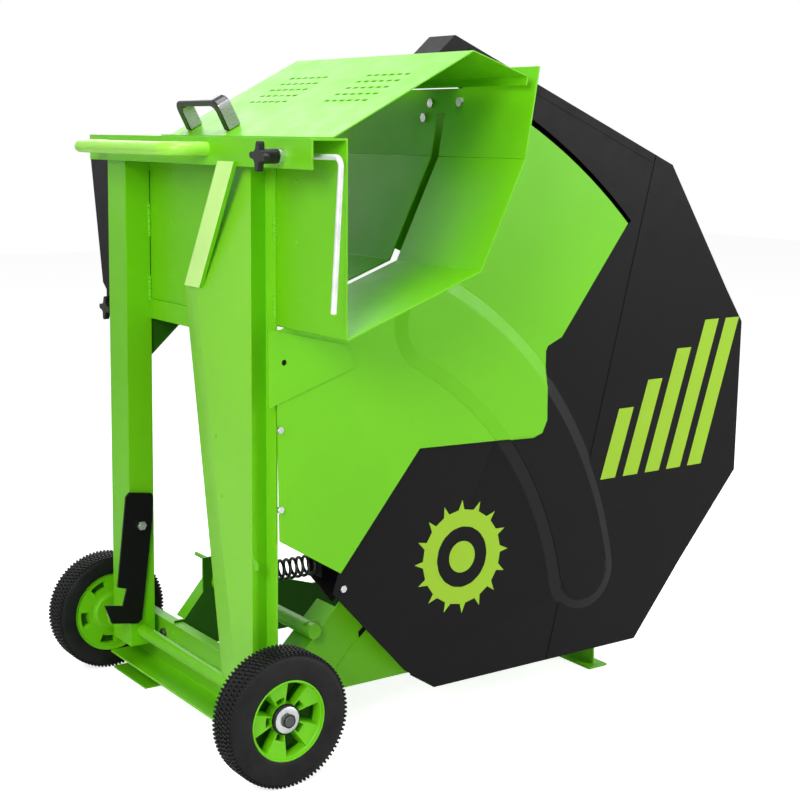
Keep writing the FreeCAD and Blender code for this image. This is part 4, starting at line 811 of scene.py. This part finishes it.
# Painted shade: black strips in the gap between the front wall and each leg, where no weld fills it: y, low and
# high end
seamShades = [(470.6, 613, 681), (470.6, 732, 790), (50.5, 621, 696), (50.5, 734, 790)]
seamShade = {"back": 21.4, "front": 22.6, "half": 0.8}
for index, (y, low, high) in enumerate(seamShades):
    outline = [(seamShade["back"], low), (seamShade["front"], low), (seamShade["front"], high), (seamShade["back"], high)]
    flatPlate(f"wall_seam_shade_{index}", outline, y - seamShade["half"], y + seamShade["half"], "rocker", "green_paint",
              finishes["black_paint"])


# Pressed domes: place and size of each, and the shape of one as radius and height
dimple = {"size": 4.2, "lift": 0.9, "sides": 20,
          "shape": [(0, -0.3), (1, -0.3), (1, 0), (0.8, 0.45), (0.45, 0.86), (0, 1)]}
wallDimples = [(23, -8, 787, 1), (23, -8, 700, 1), (23, -7, 618, 1), (23, 394, 788, 1), (23, 392, 703, 1),
               (23, 394, 620, 1)]
legDimples = [(-12, 174, 391, 0.9), (-12, 156, 301, 0.9), (-12, 51, 216, 1.9), (-12, 58, 222, 1.2)]


def dimples(name, spots):
    # The dome's shape turned about the line that looks forward.
    unit = unitGrid(dimple["shape"], dimple["sides"])[:, [2, 0, 1]] * (-1, 1, 1)
    spots = np.array(spots, float)
    width = dimple["size"] * spots[:, 3]
    sizes = np.stack([0 * width + dimple["lift"], width, width], axis=-1)
    points, faces = scattered(unit, len(dimple["shape"]), dimple["sides"], spots[:, :3], sizes)
    builtPiece(name, points, faces, "rocker", "green_paint", smooth=60)


dimples("wall_dimples", wallDimples)
dimples("leg_dimples", legDimples)


# The shade behind the near gusset's hole: a turned outline, and where it goes
gussetHole = {"outline": [(0, 40.5), (4.45, 40.5), (4.45, 41.01), (0, 41.01)], "place": (30, 0, 519)}
hole, holeFaces = turned(gussetHole["outline"], 40)
builtPiece("gusset_hole_shade", hole + gussetHole["place"], holeFaces, "rocker", "green_paint",
           finishes["black_paint"])


# Near rail: a plate laid on it, and a black plate beside it, painted shade in the notch
rail = {"back": 118.02, "front": 116.7, "edge": 0.4, "notchFront": 116.2,
        "plate": [(171, 5), (209, 43), (227, 57), (282, 3), (312, -31), (171, -31)],
        "notch": [(214, 47), (230, 60), (226, 65), (213, 56)]}
plate = flatPlate("near_rail_overlap", rail["plate"], rail["front"], rail["back"], "base", "green_paint")
rounded(plate, rail["edge"] * mm)
flatPlate("near_rail_notch_shade", rail["notch"], rail["notchFront"], rail["back"], "base", "black_paint")


# The cap of the base's cross tube: a turned outline, and where it goes
tubeCap = {"outline": [(0, 106.2), (12.0, 106.2), (12.4, 107), (12.4, 108.4), (0, 108.4)],
           "place": (124.3, 0, 75.2)}
cap, capFaces = turned(tubeCap["outline"], 48)
builtPiece("cross_tube_cap", cap + tubeCap["place"], capFaces, "base", "green_paint", smooth=40)


# Spring: both ends in x, its axis, its wire and coil as radii, and the share that lies flat at each end
spring = {"start": -8.5, "end": 117.4, "axis": (97, 188), "turns": 11.5, "wire": 2.5, "coil": 14.5,
          "flat": 0.03, "sides": 10, "steps": 34, "anchor": (118, 97, 188)}


def buildSpring():
    # A coil of round wire between the leg and the guard's bracket. Its middle line is a helix whose end turns lie
    # close, and the wire's ring stands square to it.
    wire, coil, sides = spring["wire"], spring["coil"], spring["sides"]
    count = int(spring["turns"] * spring["steps"])
    travel = np.linspace(0, 1, count + 1)
    angle = 2 * np.pi * spring["turns"] * travel
    ease = np.clip(travel * (1 + 2 * spring["flat"]) - spring["flat"], 0, 1)
    length = spring["end"] - spring["start"] - 2 * wire
    out = np.stack([0 * angle, np.sin(angle), np.cos(angle)], axis=-1)
    middle = coil * out + (0, *spring["axis"])
    middle[:, 0] = spring["start"] + wire + length * ease
    ahead = np.gradient(middle, axis=0)
    ahead /= np.linalg.norm(ahead, axis=1)[:, None]
    side = np.cross(ahead, out)
    side /= np.linalg.norm(side, axis=1)[:, None]
    upright = np.cross(side, ahead)
    around = turnSteps(sides)[None, :, None]
    points = middle[:, None] + wire * (np.cos(around) * upright[:, None] + np.sin(around) * side[:, None])
    piece = builtPiece("return_spring_coil", points.reshape(-1, 3), cappedRings(count + 1, sides),
                       bodyOf["return_spring"], slotOf["return_spring"], smooth=60)
    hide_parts("return_spring")
    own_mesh(piece)


buildSpring()
print("details built")
